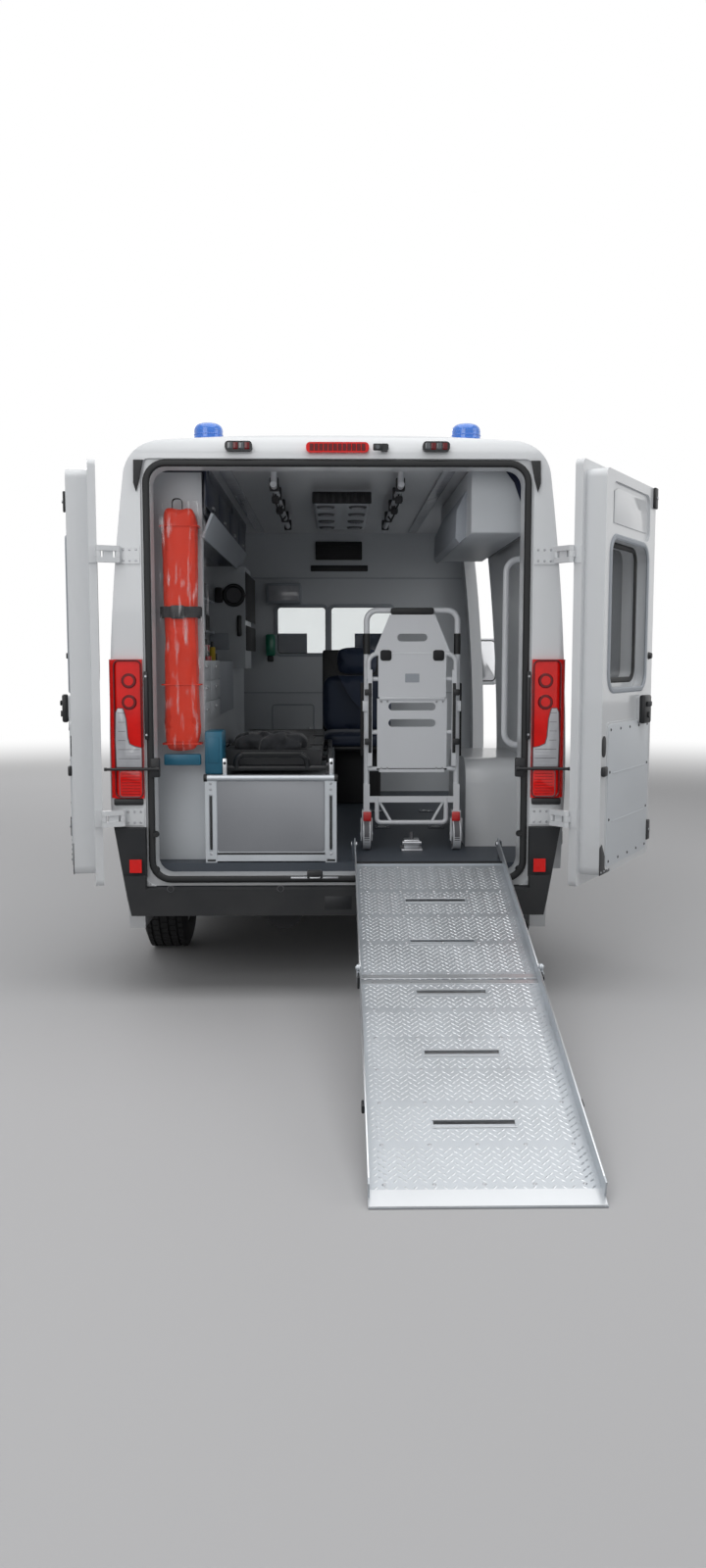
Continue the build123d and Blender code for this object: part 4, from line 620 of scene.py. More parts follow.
# the rim of a pane's outer face, walked round as one closed line
def paneRim(name, facing, spacing=0.018):
    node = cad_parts[name]
    pane = bmesh.new()
    pane.from_mesh(node.data)
    bmesh.ops.transform(pane, matrix=node.matrix_world, verts=pane.verts)
    bmesh.ops.remove_doubles(pane, verts=pane.verts, dist=0.0003)
    pane.normal_update()
    outer = {face for face in pane.faces if face.normal.dot(Vector(facing).normalized()) > 0.6}
    joined = {}
    for edge in pane.edges:
        if sum(face in outer for face in edge.link_faces) == 1:
            for one, other in (edge.verts, reversed(edge.verts)):
                joined.setdefault(one, []).append(other)
    loops = []
    while joined:
        spot = next(iter(joined))
        line = []
        while spot is not None:
            line.append(spot.co.copy())
            ahead = joined.pop(spot)
            spot = next((vert for vert in ahead if vert in joined), None)
        even = [line[0]]
        for point in line[1:]:
            if (point - even[-1]).length >= spacing:
                even.append(point)
        if len(even) > 2 and (even[-1] - even[0]).length < spacing * 0.5:
            even.pop()
        loops.append(even)
    pane.free()
    return max(loops, key=len)


# both sides as (sign, name, matrix): what is drawn on the right is placed there and, mirrored, on the left
mirrorX = Matrix.Scale(-1.0, 4, (1, 0, 0))
sides = ((1.0, "right", None), (-1.0, "left", mirrorX))

# ramp: chequer studs, rivets and slot rails, laid in the deck's own slope from the sill down
ramp = {"place": (0.415, -0.960, 0.610), "rise": 0.6048, "run": 2.160, "length": 2.2431,
        "pitch": 0.0285, "stud": (0.011, 0.0036, 0.0016), "studTop": 0.45, "studSlant": radians(48),
        "studEdge": 0.318, "columns": 11, "firstRow": 0.022,
        "slots": (0.1688, 0.3276, 0.4975, 0.6693, 0.8364), "slotClear": (0.141, 0.026),
        "slotRail": (0.131, 0.0185, 0.0025), "rivetClear": 0.012, "rivetSpacing": 0.145,
        "rivets": (0.050, 0.287, 0.512, 0.740, 0.978, 1.049, 1.230, 1.410, 1.593, 1.771, 1.975, 2.150)}
rampPlace = Matrix.Translation(ramp["place"]) @ Matrix.Rotation(atan2(ramp["rise"], ramp["run"]), 4, "X")


# a low four-sided stud lying aslant on the deck
def addStud(part, x, down, slant):
    length, width, height = ramp["stud"]
    along = Vector((cos(slant), sin(slant), 0.0))
    across = Vector((-sin(slant), cos(slant), 0.0))
    middle = Vector((x, -down, 0.0))
    rim = [part.verts.new(middle + reach)
           for reach in (along * length, across * width, -along * length, -across * width)]
    top = [part.verts.new(middle + along * length * share + Vector((0, 0, height)))
           for share in (ramp["studTop"], -ramp["studTop"])]
    part.faces.new((rim[0], rim[1], top[0]))
    part.faces.new((rim[1], rim[2], top[1], top[0]))
    part.faces.new((rim[2], rim[3], top[1]))
    part.faces.new((rim[3], rim[0], top[0], top[1]))


def makeDeck(start, end):
    piece = startPiece()
    studs = bmesh.new()
    slots = [share * ramp["length"] for share in ramp["slots"]]
    clearAcross, clearAlong = ramp["slotClear"]
    row, down = 0, start + ramp["firstRow"]
    while down < end:
        atSlot = any(abs(down - slot) <= clearAlong for slot in slots)
        atRivets = any(abs(down - line) < ramp["rivetClear"] for line in ramp["rivets"])
        for column in range(-ramp["columns"], ramp["columns"] + 1):
            x = (column + (0.5 if row % 2 else 0.0)) * ramp["pitch"]
            if abs(x) > ramp["studEdge"] or atRivets or (atSlot and abs(x) < clearAcross):
                continue
            addStud(studs, x, down, ramp["studSlant"] * (1 if (row + column) % 2 else -1))
        row += 1
        down += ramp["pitch"] / 2
    addPart(piece, studs, "barAluminium", rampPlace)
    for line in ramp["rivets"]:
        if start < line < end:
            heads = [(k * ramp["rivetSpacing"], -line, 0.0015) for k in range(-2, 3)]
            addHeads(piece, heads, 0.0065, 0.003, (0, 0, 1), "zincSteel", rampPlace, 10)
    half, offset, thick = ramp["slotRail"]
    for middle in [-slot + edge * offset for slot in slots if start < slot < end for edge in (-1, 1)]:
        rail = boxPart((-half, middle - thick, 0.0), (half, middle + thick, thick), 0.001)
        addPart(piece, rail, "barAluminium", rampPlace)
    return piece


# the two halves' own fittings: strips across, rods across, and what both edges carry
rampHalves = {
    "rampUpperTrim": {"body": "ramp_upper", "span": (0.026, 1.018), "rods": [],
                      "strips": [((-0.333, -1.019, 0.0), (0.333, -0.990, 0.0026), 0.001, "barAluminium"),
                                 ((-0.336, -0.024, 0.006), (0.336, -0.003, 0.0085), 0.001, "rubberBlack")],
                      "edges": [((0.3325, -1.010, 0.046), (0.3385, -0.030, 0.0515), 0.002, "barAluminium")],
                      "pins": [((0.326, 0.150, 0.024), (0.353, 0.150, 0.024), 0.014, 0.014, 20,
                                "zincSteel")]},
    "rampLowerTrim": {"body": "ramp_lower", "span": (1.030, 2.168), "pins": [],
                      "strips": [((-0.333, -1.058, 0.0), (0.333, -1.029, 0.0026), 0.001, "barAluminium"),
                                 ((-0.337, -2.241, 0.0), (0.337, -2.172, 0.0022), 0.001, "barAluminium")],
                      "rods": [((-0.337, -2.2395, -0.0022), (0.337, -2.2395, -0.0022), 0.0028, 0.0028, 10,
                                "rubberBlack")],
                      "edges": [((0.3325, -2.180, 0.046), (0.3385, -1.050, 0.0515), 0.002, "barAluminium"),
                                ((0.3385, -1.086, -0.003), (0.3475, -1.046, 0.047), 0.003, "plasticBlack"),
                                ((0.3385, -1.834, 0.006), (0.3485, -1.800, 0.036), 0.004, "plasticBlack")]}}
for name, half in rampHalves.items():
    deck = makeDeck(*half["span"])
    addBoxes(deck, half["strips"], rampPlace)
    addRods(deck, half["rods"], rampPlace)
    for place in (rampPlace, rampPlace @ mirrorX):
        addBoxes(deck, half["edges"], place)
        addRods(deck, half["pins"], place)
    finishPiece(deck, name, half["body"])
print("ramp dressed")

# ring of rubber round the rear opening
seal = {"low": (-0.838, 0.544), "high": (0.838, 2.387), "corner": 0.084, "front": -1.004,
        "section": [(-0.015, 0.0), (-0.015, -0.006), (-0.009, -0.013), (0.0, -0.015), (0.009, -0.013),
                    (0.015, -0.006), (0.015, 0.0)]}
sealPiece = startPiece()
sealPath = rimPath(seal["low"], seal["high"], seal["corner"], seal["front"], 8)
addPart(sealPiece, sweepPart(sealPath, seal["section"], closed=True), "rubberBlack")
finishPiece(sealPiece, "openingSeal", "body")

# tail lamps: dark rim, clear section and red foot, their rims, ribs, bulbs, base and a strip by the jamb
tail = {"face": -1.0335, "rim": ((0.871, 0.921), (0.990, 1.529), 0.022),
        "foot": ((0.872, 0.924), (0.973, 1.043), 0.014, 4),
        "clear": ((0.870, 1.056), (0.985, 1.056), (0.988, 1.180), (0.984, 1.300), (0.976, 1.318),
                  (0.952, 1.318), (0.940, 1.270), (0.934, 1.190), (0.926, 1.160), (0.900, 1.148),
                  (0.870, 1.142)),
        "ribs": 18, "ribLow": 1.068, "ribStep": 0.0135, "ribShoulder": 1.140, "ribInner": (0.880, 0.944),
        "ribOuter": 0.976,
        "footLines": (((0.882, -1.0381, 0.934), (0.963, -1.0365, 0.9355), 0.0, "lampDark"),
                      (0.0, 0.0, 0.013), 8),
        "bulbs": (1.345, 1.440), "screws": (1.460, 1.200),
        "boxes": [((0.872, -1.028, 0.884), (1.003, -1.000, 0.914), 0.006, "plasticBlack"),
                  ((0.842, -1.028, 1.178), (0.860, -1.005, 1.482), 0.006, "plasticBlack")]}
for side, tag, mirror in sides:
    piece = startPiece()
    low, high, corner = tail["rim"]
    path = rimPath(low, high, corner, tail["face"] - 0.0005)
    addPart(piece, sweepPart(path, circleSection(0.004, 8), closed=True), "lampDark", mirror)
    for outline, look in ((tail["clear"], "lampClear"), (roundedLoop(*tail["foot"]), "lampRed")):
        addPart(piece, platePart(outline, tail["face"] + 0.004, tail["face"] - 0.0035, 0.002), look, mirror)
        path = [(u, tail["face"] - 0.0022, v) for u, v in outline]
        addPart(piece, sweepPart(path, circleSection(0.0022, 6), closed=True), "castorGrey", mirror)
    for k in range(tail["ribs"]):
        v = tail["ribLow"] + k * tail["ribStep"]
        inner = tail["ribInner"][0 if v < tail["ribShoulder"] else 1]
        rib = boxPart((inner, tail["face"] - 0.0046, v - 0.001),
                      (tail["ribOuter"], tail["face"] - 0.003, v + 0.001))
        addPart(piece, rib, "castorGrey" if k % 3 == 2 else "lampClear", mirror)
    addRuns(piece, [tail["footLines"]], mirror)
    for v in tail["bulbs"]:
        addRods(piece, [((0.925, tail["face"] + 0.002, v), (0.925, tail["face"] - 0.0035, v), 0.034, 0.030,
                         28, "lampDark"),
                        ((0.925, tail["face"], v), (0.925, tail["face"] - 0.005, v), 0.024, 0.020, 28,
                         "lampRed")], mirror)
    addBoxes(piece, tail["boxes"], mirror)
    addRods(piece, [((0.851, -1.028, v), (0.851, -1.031, v), 0.005, 0.005, 12, "zincSteel")
                    for v in tail["screws"]], mirror)
    finishPiece(piece, f"tailLampLens_{tag}", "body")

# rear opening: check sockets, buffers and corner stops at the jambs, latch on the sill, camera and lamps above
jamb = {"sockets": [((0.796, -1.030, 1.010), (0.836, -1.000, 1.095), 0.004, "plasticBlack")],
        "buffers": [((0.815, -1.022, 1.048), (0.865, -1.036, 1.048), 0.006, 0.006, 12, "zincSteel"),
                    ((0.820, -1.002, 0.7505), (0.820, -1.024, 0.7505), 0.015, 0.011, 18, "rubberBlack"),
                    ((0.820, -1.002, 0.5895), (0.820, -1.024, 0.5895), 0.015, 0.011, 18, "rubberBlack")],
        "cornerStop": [(0.846, 2.398), (0.888, 2.398), (0.890, 2.300), (0.878, 2.262), (0.862, 2.318)],
        "latch": [((-0.214, -1.022, 0.546), (0.001, -0.998, 0.556), 0.002, "zincSteel"),
                  ((-0.140, -1.030, 0.548), (-0.070, -1.002, 0.586), 0.006, "plasticBlack")],
        "striker": [(-0.128, -1.030, 0.556), (-0.128, -1.046, 0.556), (-0.082, -1.046, 0.556),
                    (-0.082, -1.030, 0.556)],
        "camera": [((0.154, -1.050, 2.436), (0.194, -1.036, 2.466), 0.005, "plasticBlack")],
        "cameraLens": [((0.174, -1.049, 2.450), (0.174, -1.054, 2.450), 0.009, 0.009, 20, "glassDark")],
        "edgeLamps": (-0.430, 0.430),
        "brakeCells": (((-0.12125, -1.0345, 2.437), (-0.10425, -1.0325, 2.467), 0.0015, "lampDark"),
                       (0.0205, 0.0, 0.0), 12)}
opening = startPiece()
for side, tag, mirror in sides:
    addBoxes(opening, jamb["sockets"], mirror)
    addRods(opening, jamb["buffers"], mirror)
    addPart(opening, platePart(jamb["cornerStop"], -1.018, -1.029, 0.003), "rubberBlack", mirror)
addBoxes(opening, jamb["latch"] + jamb["camera"])
addPart(opening, sweepPart(bendPath(jamb["striker"], 0.008), circleSection(0.004, 8), side=(0, 0, 1)),
        "zincSteel")
addRods(opening, jamb["cameraLens"])
for middle in jamb["edgeLamps"]:
    for u, look in ((middle - 0.048, "glassDark"), (middle - 0.023, "lampDark")):
        addRuns(opening, [(((u, -1.0405, 2.441), (u + 0.021, -1.0385, 2.471), 0.002, look),
                           (0.050, 0.0, 0.0), 2)])
addRuns(opening, [jamb["brakeCells"]])
finishPiece(opening, "jambFittings", "body")
print("rear opening dressed")

# rear doors, drawn on the closed right door with Y counted from its inner face; skin is the outside
door = {"inner": -0.917, "skin": -0.128, "pane": ((0.180, 1.440), (0.670, 2.050), 0.060),
        "mouth": ((0.135, 1.395), (0.735, 2.075), 0.080), "outerRim": ((0.176, 1.436), (0.674, 2.054), 0.064),
        "trim": ((0.068, 0.600), (0.727, 1.246)), "clip": (0.0075, 0.030, 0.025),
        "places": {"right": ((1.00937, -1.11796, 0.0), 240.0, -0.876),
                   "left": ((-1.03613, -1.08550, 0.0), -257.5, 0.876)},
        "hingeLine": 1.050,
        "section": [(-0.011, -0.004), (0.011, -0.004), (0.013, 0.001), (0.006, 0.006), (-0.006, 0.006),
                    (-0.013, 0.001)],
        "boxes": [((0.138, 0.007, 0.80), (0.657, 0.0095, 0.806), 0.002, "liningWhite"),
                  ((0.138, 0.007, 1.02), (0.657, 0.0095, 1.026), 0.002, "liningWhite"),
                  ((0.146, 0.010, 1.229), (0.262, 0.0405, 1.365), 0.010, "plasticBlack"),
                  ((0.170, 0.040, 1.310), (0.244, 0.050, 1.335), 0.005, "trimBlack"),
                  ((0.022, 0.0, 2.262), (0.066, 0.014, 2.362), 0.005, "plasticBlack"),
                  ((0.022, 0.0, 0.640), (0.066, 0.014, 0.740), 0.005, "plasticBlack"),
                  ((0.758, 0.0, 1.018), (0.808, 0.018, 1.062), 0.006, "plasticBlack"),
                  ((0.045, -0.142, 1.255), (0.175, -0.127, 1.295), 0.006, "plasticBlack")],
        "rods": [((0.205, 0.040, 1.270), (0.205, 0.048, 1.270), 0.015, 0.015, 20, "plasticBlack"),
                 ((0.075, 0.0, 1.553), (0.075, 0.016, 1.553), 0.018, 0.013, 20, "plasticBlack"),
                 ((0.044, 0.0, 2.312), (0.044, 0.019, 2.312), 0.008, 0.008, 14, "zincSteel"),
                 ((0.044, 0.0, 0.690), (0.044, 0.019, 0.690), 0.008, 0.008, 14, "zincSteel")],
        "plug": (roundedLoop((0.752, 1.103), (0.802, 1.197), 0.024, 6), -0.001, 0.004, 0.002, "rubberBlack"),
        "foot": ([(0.660, 0.575), (0.806, 0.575), (0.806, 0.700), (0.780, 0.712), (0.700, 0.612),
                  (0.662, 0.596)],
                 0.0, 0.004, 0.0015, "plasticBlack"),
        "footScrews": [(0.690, 0.005, 0.588), (0.745, 0.005, 0.588), (0.790, 0.005, 0.588)],
        "stamp": ([(0.150, 2.135), (0.670, 2.135), (0.670, 2.275), (0.620, 2.290), (0.200, 2.290),
                   (0.150, 2.275)],
                  -0.012, -0.006, 0.003, "paintWhite"),
        "plate": roundedLoop((0.10, 0.80), (0.62, 0.93), 0.012, 4)}
for side, tag, mirror in sides:
    hinge, turn, shift = door["places"][tag]
    place = (Matrix.Translation(hinge) @ Matrix.Rotation(radians(turn), 4, "Z")
             @ Matrix.Translation((shift, door["hingeLine"], 0.0)) @ (mirror or Matrix())
             @ Matrix.Translation((0.0, door["inner"], 0.0)))
    piece = startPiece()
    for (low, high, corner), depth, look in ((door["pane"], -0.046, "rubberBlack"),
                                             (door["mouth"], 0.001, "liningGrey")):
        addPart(piece, sweepPart(rimPath(low, high, corner, depth, 7), door["section"], closed=True), look,
                place)
    low, high = door["trim"]
    radius, endMargin, margin = door["clip"]
    addPart(piece, platePart(roundedLoop(low, high, 0.022, 4), 0.002, 0.0075, 0.002), "liningWhite", place)
    across = (high[0] - low[0] - 2 * endMargin) / 4
    clips = [(low[0] + endMargin + k * across, v) for k in range(5)
             for v in (low[1] + margin, high[1] - margin)]
    clips += [(u, low[1] + k * (high[1] - low[1]) / 3) for k in (1, 2)
              for u in (low[0] + margin, high[0] - margin)]
    addHeads(piece, [(u, 0.0088, v) for u, v in clips], radius, 0.003, (0, 1, 0), "castDark", place)
    addBoxes(piece, door["boxes"], place)
    addRods(piece, door["rods"], place)
    addPlates(piece, [door["plug"], door["foot"], door["stamp"]], place)
    addHeads(piece, door["footScrews"], 0.005, 0.003, (0, 1, 0), "zincSteel", place)
    plateLook = "trimBlack" if tag == "left" else "paintWhite"
    addPlates(piece, [(door["plate"], door["skin"] + 0.001, door["skin"] - 0.002, 0.001, plateLook)], place)
    path = rimPath(*door["outerRim"], door["skin"] + 0.0005, 7)
    addPart(piece, sweepPart(path, circleSection(0.006, 8), closed=True), "rubberBlack", place)
    finishPiece(piece, f"rearDoorInner_{tag}", f"rear_door_{tag}")
print("rear doors dressed")

# rear bumper: reflectors, parking sensors and the cover plate in its middle
bumper = {"reflector": [((0.876, -1.0755, 0.586), (0.930, -1.072, 0.646), 0.0003, "lampRed")],
          "sensors": (0.258, 0.749), "sensorHeight": 0.513, "sensorRadius": 0.0125, "rimRadius": 0.014,
          "cover": [((-0.060, -1.0765, 0.418), (0.060, -1.073, 0.478), 0.003, "plasticBlack")]}
bumperPiece = startPiece()
for side, tag, mirror in sides:
    addBoxes(bumperPiece, bumper["reflector"], mirror)
    for u in bumper["sensors"]:
        v = bumper["sensorHeight"]
        radius = bumper["sensorRadius"]
        addRods(bumperPiece, [((u, -1.074, v), (u, -1.0785, v), radius, radius, 24, "plasticBlack")], mirror)
        rim = circlePath((u, -1.0752, v), bumper["rimRadius"], 20, (0, 2))
        addPart(bumperPiece, sweepPart(rim, circleSection(0.0016, 6), closed=True), "castorGrey", mirror)
addBoxes(bumperPiece, bumper["cover"])
finishPiece(bumperPiece, "bumperTrim", "body")

# beacons: dark foot ring, and ribs round the dome as (height, radius)
beacon = {"middle": (0.585, -0.785), "foot": (2.500, 2.5145, 0.070, 0.067), "ribWidth": 0.0022,
          "ribs": ((2.528, 0.0665), (2.545, 0.0662), (2.562, 0.0645))}
beaconPiece = startPiece()
for side, tag, mirror in sides:
    low, high, radius, tip = beacon["foot"]
    addRods(beaconPiece, [((*beacon["middle"], low), (*beacon["middle"], high), radius, tip, 40,
                           "plasticBlack")], mirror)
    for height, radius in beacon["ribs"]:
        rib = sweepPart(circlePath((*beacon["middle"], height), radius, 32, (0, 1)),
                        circleSection(beacon["ribWidth"], 6), closed=True, side=(0, 0, 1))
        addPart(beaconPiece, rib, "beaconBlue", mirror)
finishPiece(beaconPiece, "beaconFeet", "body")

# tyres: turned casing as (radius, along) with four grooves, rows of blocks and raised bands on the outer wall
tyre = {"shoulder": [(0.1975, -0.084), (0.209, -0.084), (0.222, -0.096), (0.245, -0.109), (0.262, -0.113),
                     (0.285, -0.111), (0.305, -0.106), (0.322, -0.099), (0.331, -0.092)],
        "grooves": (-0.064, -0.022, 0.022, 0.064), "grooveHalf": (0.0052, 0.004), "tread": 0.3350,
        "grooveFloor": 0.3285,
        "blockRows": ((-0.091, -0.0695), (-0.0585, -0.0275), (-0.0165, 0.0165), (0.0275, 0.0585),
                      (0.0695, 0.091)),
        "blocks": 54, "blockHalf": 0.0155, "blockLow": 0.3335, "blockHigh": 0.3390,
        "bands": ((0.236, 0.1045), (0.296, 0.1075)), "bandWidth": 0.0022}
casing = list(tyre["shoulder"])
for groove in tyre["grooves"]:
    wide, narrow = tyre["grooveHalf"]
    casing += [(tyre["tread"], groove - wide), (tyre["grooveFloor"], groove - narrow),
               (tyre["grooveFloor"], groove + narrow), (tyre["tread"], groove + wide)]
casing += [(radius, -along) for radius, along in reversed(tyre["shoulder"])]


def makeTyre(name, replaced, middle, side, body):
    piece = startPiece()
    addPart(piece, turnedPart(casing, middle, 64), "tyreRubber")
    for row, (low, high) in enumerate(tyre["blockRows"]):
        block = boxPart((low, -tyre["blockHalf"], tyre["blockLow"]),
                        (high, tyre["blockHalf"], tyre["blockHigh"]))
        for k in range(tyre["blocks"]):
            angle = 2 * pi * (k + 0.5 * (row % 2)) / tyre["blocks"]
            addPart(piece, block.copy(), "tyreRubber",
                    Matrix.Translation(middle) @ Matrix.Rotation(angle, 4, "X"))
        block.free()
    for radius, along in tyre["bands"]:
        band = circlePath((middle[0] + side * along, middle[1], middle[2]), radius, 64, (1, 2))
        addPart(piece, sweepPart(band, circleSection(tyre["bandWidth"], 6), closed=True, side=(1, 0, 0)),
                "tyreRubber")
    finishPiece(piece, name, body, (replaced,))


# wheels: axle place and half track; hub parts as (start, end, radius, end radius, sides), from mid tyre out
wheel = {"axles": {"front": (3.450, 0.905), "rear": (0.0, 0.895)}, "height": 0.340, "bolts": 5,
         "boltCircle": 0.0865, "bolt": (0.044, 0.058, 0.0105, 0.0105, 6),
         "washer": (0.043, 0.046, 0.0145, 0.0145, 18), "cap": (0.062, 0.070, 0.036, 0.030, 28),
         "valve": (0.012, 0.052, 0.004, 0.004, 10), "valveCircle": 0.165}


def addHubRod(piece, rod, look, side, half, spot):
    start, end, radius, tip, count = rod
    addRods(piece, [((side * (half + start), *spot), (side * (half + end), *spot), radius, tip, count, look)])


for end, (along, half) in wheel["axles"].items():
    for side, tag, mirror in sides:
        body = f"wheel_{end}_{tag}"
        height = wheel["height"]
        makeTyre(f"treadTyre_{end}_{tag}", f"tyre_{end}_{tag}", (side * half, along, height), side, body)
        hub = startPiece()
        for k in range(wheel["bolts"]):
            angle = 2 * pi * k / wheel["bolts"] + pi / 2
            spot = (along + wheel["boltCircle"] * cos(angle), height + wheel["boltCircle"] * sin(angle))
            addHubRod(hub, wheel["bolt"], "zincSteel", side, half, spot)
            addHubRod(hub, wheel["washer"], "castDark", side, half, spot)
        addHubRod(hub, wheel["cap"], "plasticBlack", side, half, (along, height))
        addHubRod(hub, wheel["valve"], "rubberBlack", side, half, (along, height + wheel["valveCircle"]))
        finishPiece(hub, f"wheelBolts_{end}_{tag}", body)
print("wheels dressed")

# rescue bag on the left column; its body starts smaller than the bag, because the cloth pass swells it
bag = {"low": (-0.794, -0.893, 1.115), "high": (-0.631, -0.806, 2.217), "shape": (9.0, 34, 0.012, 15.0, 2.0),
       "look": "bagOrange", "voxel": 0.005, "cap": 0.007, "fill": 0.5,
       "strapHeight": 1.747, "strapLoop": ((-0.802, -0.903), (-0.621, -0.798), 0.024),
       "strapBand": (0.0018, 0.025),
       "fastening": [((-0.752, -0.908, 1.717), (-0.692, -0.897, 1.777), 0.004, "plasticBlack"),
                     ((-0.690, -0.9045, 1.728), (-0.612, -0.8995, 1.766), 0.002, "webbingBlack")],
       "seams": (1.150, 1.420, 2.130), "seamLoop": ((-0.8005, -0.9005), (-0.6245, -0.7995), 0.020),
       "seamRadius": 0.0035, "topBand": (0.0015, 0.012),
       "topLoop": [(-0.745, -0.850, 2.205), (-0.745, -0.850, 2.255), (-0.700, -0.850, 2.255),
                   (-0.700, -0.850, 2.205)]}
makePad("rescueBag", bag, ("rescue_bag",))
strap = startPiece()
wrap = levelPath(*bag["strapLoop"], bag["strapHeight"])
addPart(strap, sweepPart(wrap, bandSection(*bag["strapBand"]), closed=True, side=(0, 0, 1)), "webbingBlack")
addBoxes(strap, bag["fastening"])
for height in bag["seams"]:
    seam = levelPath(*bag["seamLoop"], height)
    addPart(strap, sweepPart(seam, circleSection(bag["seamRadius"], 6), closed=True, side=(0, 0, 1)),
            "bagOrange")
addPart(strap, sweepPart(bendPath(bag["topLoop"], 0.02), bandSection(*bag["topBand"])), "webbingBlack")
finishPiece(strap, "bagStraps", "body")
print("bag dressed")

# left side of the patient space, laid on the CAD's fronts: locker doors, flap, drawers, panes, shelves
locker = {"runs": [(((-0.600, -0.830, 2.222), (-0.593, -0.250, 2.395), 0.004, "lockerNavy"),
                    (0.0, 0.595, 0.0), 4),
                   (((-0.594, -0.575, 2.240), (-0.585, -0.505, 2.256), 0.003, "zincSteel"),
                    (0.0, 0.595, 0.0), 4),
                   (((-0.641, -0.785, 1.232), (-0.633, -0.345, 1.326), 0.004, "liningWhite"),
                    (0.0, 0.0, 0.102), 3),
                   (((-0.641, -0.330, 1.232), (-0.633, 0.110, 1.326), 0.004, "liningWhite"),
                    (0.0, 0.0, 0.102), 3),
                   (((-0.634, -0.610, 1.288), (-0.624, -0.520, 1.300), 0.003, "zincSteel"),
                    (0.0, 0.0, 0.102), 3),
                   (((-0.634, -0.155, 1.288), (-0.624, -0.065, 1.300), 0.003, "zincSteel"),
                    (0.0, 0.0, 0.102), 3)],
          "flap": ([(-0.572, 2.196), (-0.560, 2.190), (-0.606, 2.082), (-0.618, 2.088)], -0.842, 1.200,
                   0.003, "liningGrey"),
          "panes": [((-0.641, 0.130, 1.236), (-0.634, 0.970, 1.526), 0.004, "liningGrey"),
                    ((-0.561, 1.030, 1.590), (-0.555, 1.860, 1.745), 0.003, "castDark"),
                    ((-0.561, 1.030, 1.775), (-0.555, 1.860, 2.070), 0.003, "castDark")],
          "shelves": (1.690, 1.870), "shelfBoxes": 6, "boxSpacing": 0.21,
          "boxLooks": ("liningGrey", "castDark", "panelGrey", "plasticBlack")}
cabinet = startPiece()
addRuns(cabinet, locker["runs"])
addPlates(cabinet, [locker["flap"]])
addBoxes(cabinet, locker["panes"])
for tier, v in enumerate(locker["shelves"]):
    addBoxes(cabinet, [((-0.930, -0.420, v), (-0.740, 0.940, v + 0.012), 0.002, "liningGrey")])
    for k in range(locker["shelfBoxes"]):
        w = -0.36 + k * locker["boxSpacing"]
        look = locker["boxLooks"][(k + tier) % len(locker["boxLooks"])]
        addBoxes(cabinet, [((-0.915, w, v + 0.012), (-0.760, w + 0.150, v + 0.108), 0.008, look)])
finishPiece(cabinet, "leftLockers", "body")

# bottles on the counter as (x, y, radius, height, look), round monitor with its boxes, bins by the column
shelf = {"bottles": ((-0.690, -0.060, 0.019, 0.125, "plasticBlack"),
                     (-0.662, 0.020, 0.016, 0.150, "yellowCloth"),
                     (-0.668, -0.130, 0.017, 0.090, "redPlastic"),
                     (-0.705, 0.110, 0.022, 0.165, "redPlastic"),
                     (-0.670, 0.190, 0.018, 0.110, "plasticBlack"),
                     (-0.700, 0.300, 0.024, 0.140, "castorGrey")),
         "shoulder": 0.8, "taper": 0.94, "neck": 0.45, "monitor": (-0.627, 1.000, 1.925), "ringRadius": 0.058,
         "ringWidth": 0.012,
         "dial": [((0.0, 0.001, 0.0), (0.0, -0.010, 0.0), 0.052, 0.052, 32, "castorGrey")],
         "monitorBoxes": [((-0.112, -0.060, -0.045), (-0.066, 0.001, 0.045), 0.010, "castDark"),
                          ((0.018, -0.030, -0.250), (0.046, 0.001, -0.120), 0.010, "plasticBlack"),
                          ((-0.150, -0.020, -0.330), (-0.030, 0.001, -0.230), 0.006, "liningGrey")],
         "bins": [((-0.795, -0.8985, 1.052), (-0.628, -0.860, 1.103), 0.006, "tealPlastic"),
                  ((-0.612, -0.870, 1.008), (-0.530, -0.700, 1.206), 0.008, "tealPlastic"),
                  ((-0.600, -0.874, 1.060), (-0.545, -0.869, 1.180), 0.004, "tealPlastic")]}
items = startPiece()
counter = onSurface("left_cabinets", (-0.720, 0.0, 2.0), (0, 0, -1))[0].z
for u, w, radius, height, look in shelf["bottles"]:
    neck, top = counter + height * shelf["shoulder"], counter + height
    narrow = radius * shelf["neck"]
    addRods(items, [((u, w, counter), (u, w, neck), radius, radius * shelf["taper"], 20, look),
                    ((u, w, neck), (u, w, top), narrow, narrow, 16, "plasticBlack")])
place = Matrix.Translation(shelf["monitor"])
rim = circlePath((0.0, -0.012, 0.0), shelf["ringRadius"], 32, (0, 2))
addPart(items, sweepPart(rim, circleSection(shelf["ringWidth"], 10), closed=True), "plasticBlack", place)
addRods(items, shelf["dial"], place)
addBoxes(items, shelf["monitorBoxes"], place)
addBoxes(items, shelf["bins"])
finishPiece(items, "shelfItems", "body")
print("left side fitted")

# ceiling: lamps and grille on the console, mounts, hooks and clips on the two rails, light strips beside
ceiling = {"lampRows": (0.10, 0.42, 0.74, 1.06), "lampColumns": (-0.060, 0.110),
           "grille": [((-0.130, -0.012, 2.345), (0.180, 0.004, 2.405), 0.005, "castDark")],
           "slats": (((-0.112, -0.018, 2.352), (-0.090, -0.008, 2.398), 0.002, "plasticBlack"),
                     (0.040, 0.0, 0.0), 7),
           "rail": 0.300, "mounts": (-0.560, -0.250, 0.200, 0.700, 1.120), "hooks": (-0.420, 0.000),
           "strip": [((0.490, -0.700, 2.402), (0.550, 1.900, 2.409), 0.003, "lampClear")]}
overhead = startPiece()
for w in ceiling["lampRows"]:
    for u in ceiling["lampColumns"]:
        addRods(overhead, [((u, w, 2.343), (u, w, 2.333), 0.050, 0.044, 32, "castorGrey"),
                           ((u, w, 2.334), (u, w, 2.330), 0.034, 0.034, 28, "lampClear")])
addBoxes(overhead, ceiling["grille"])
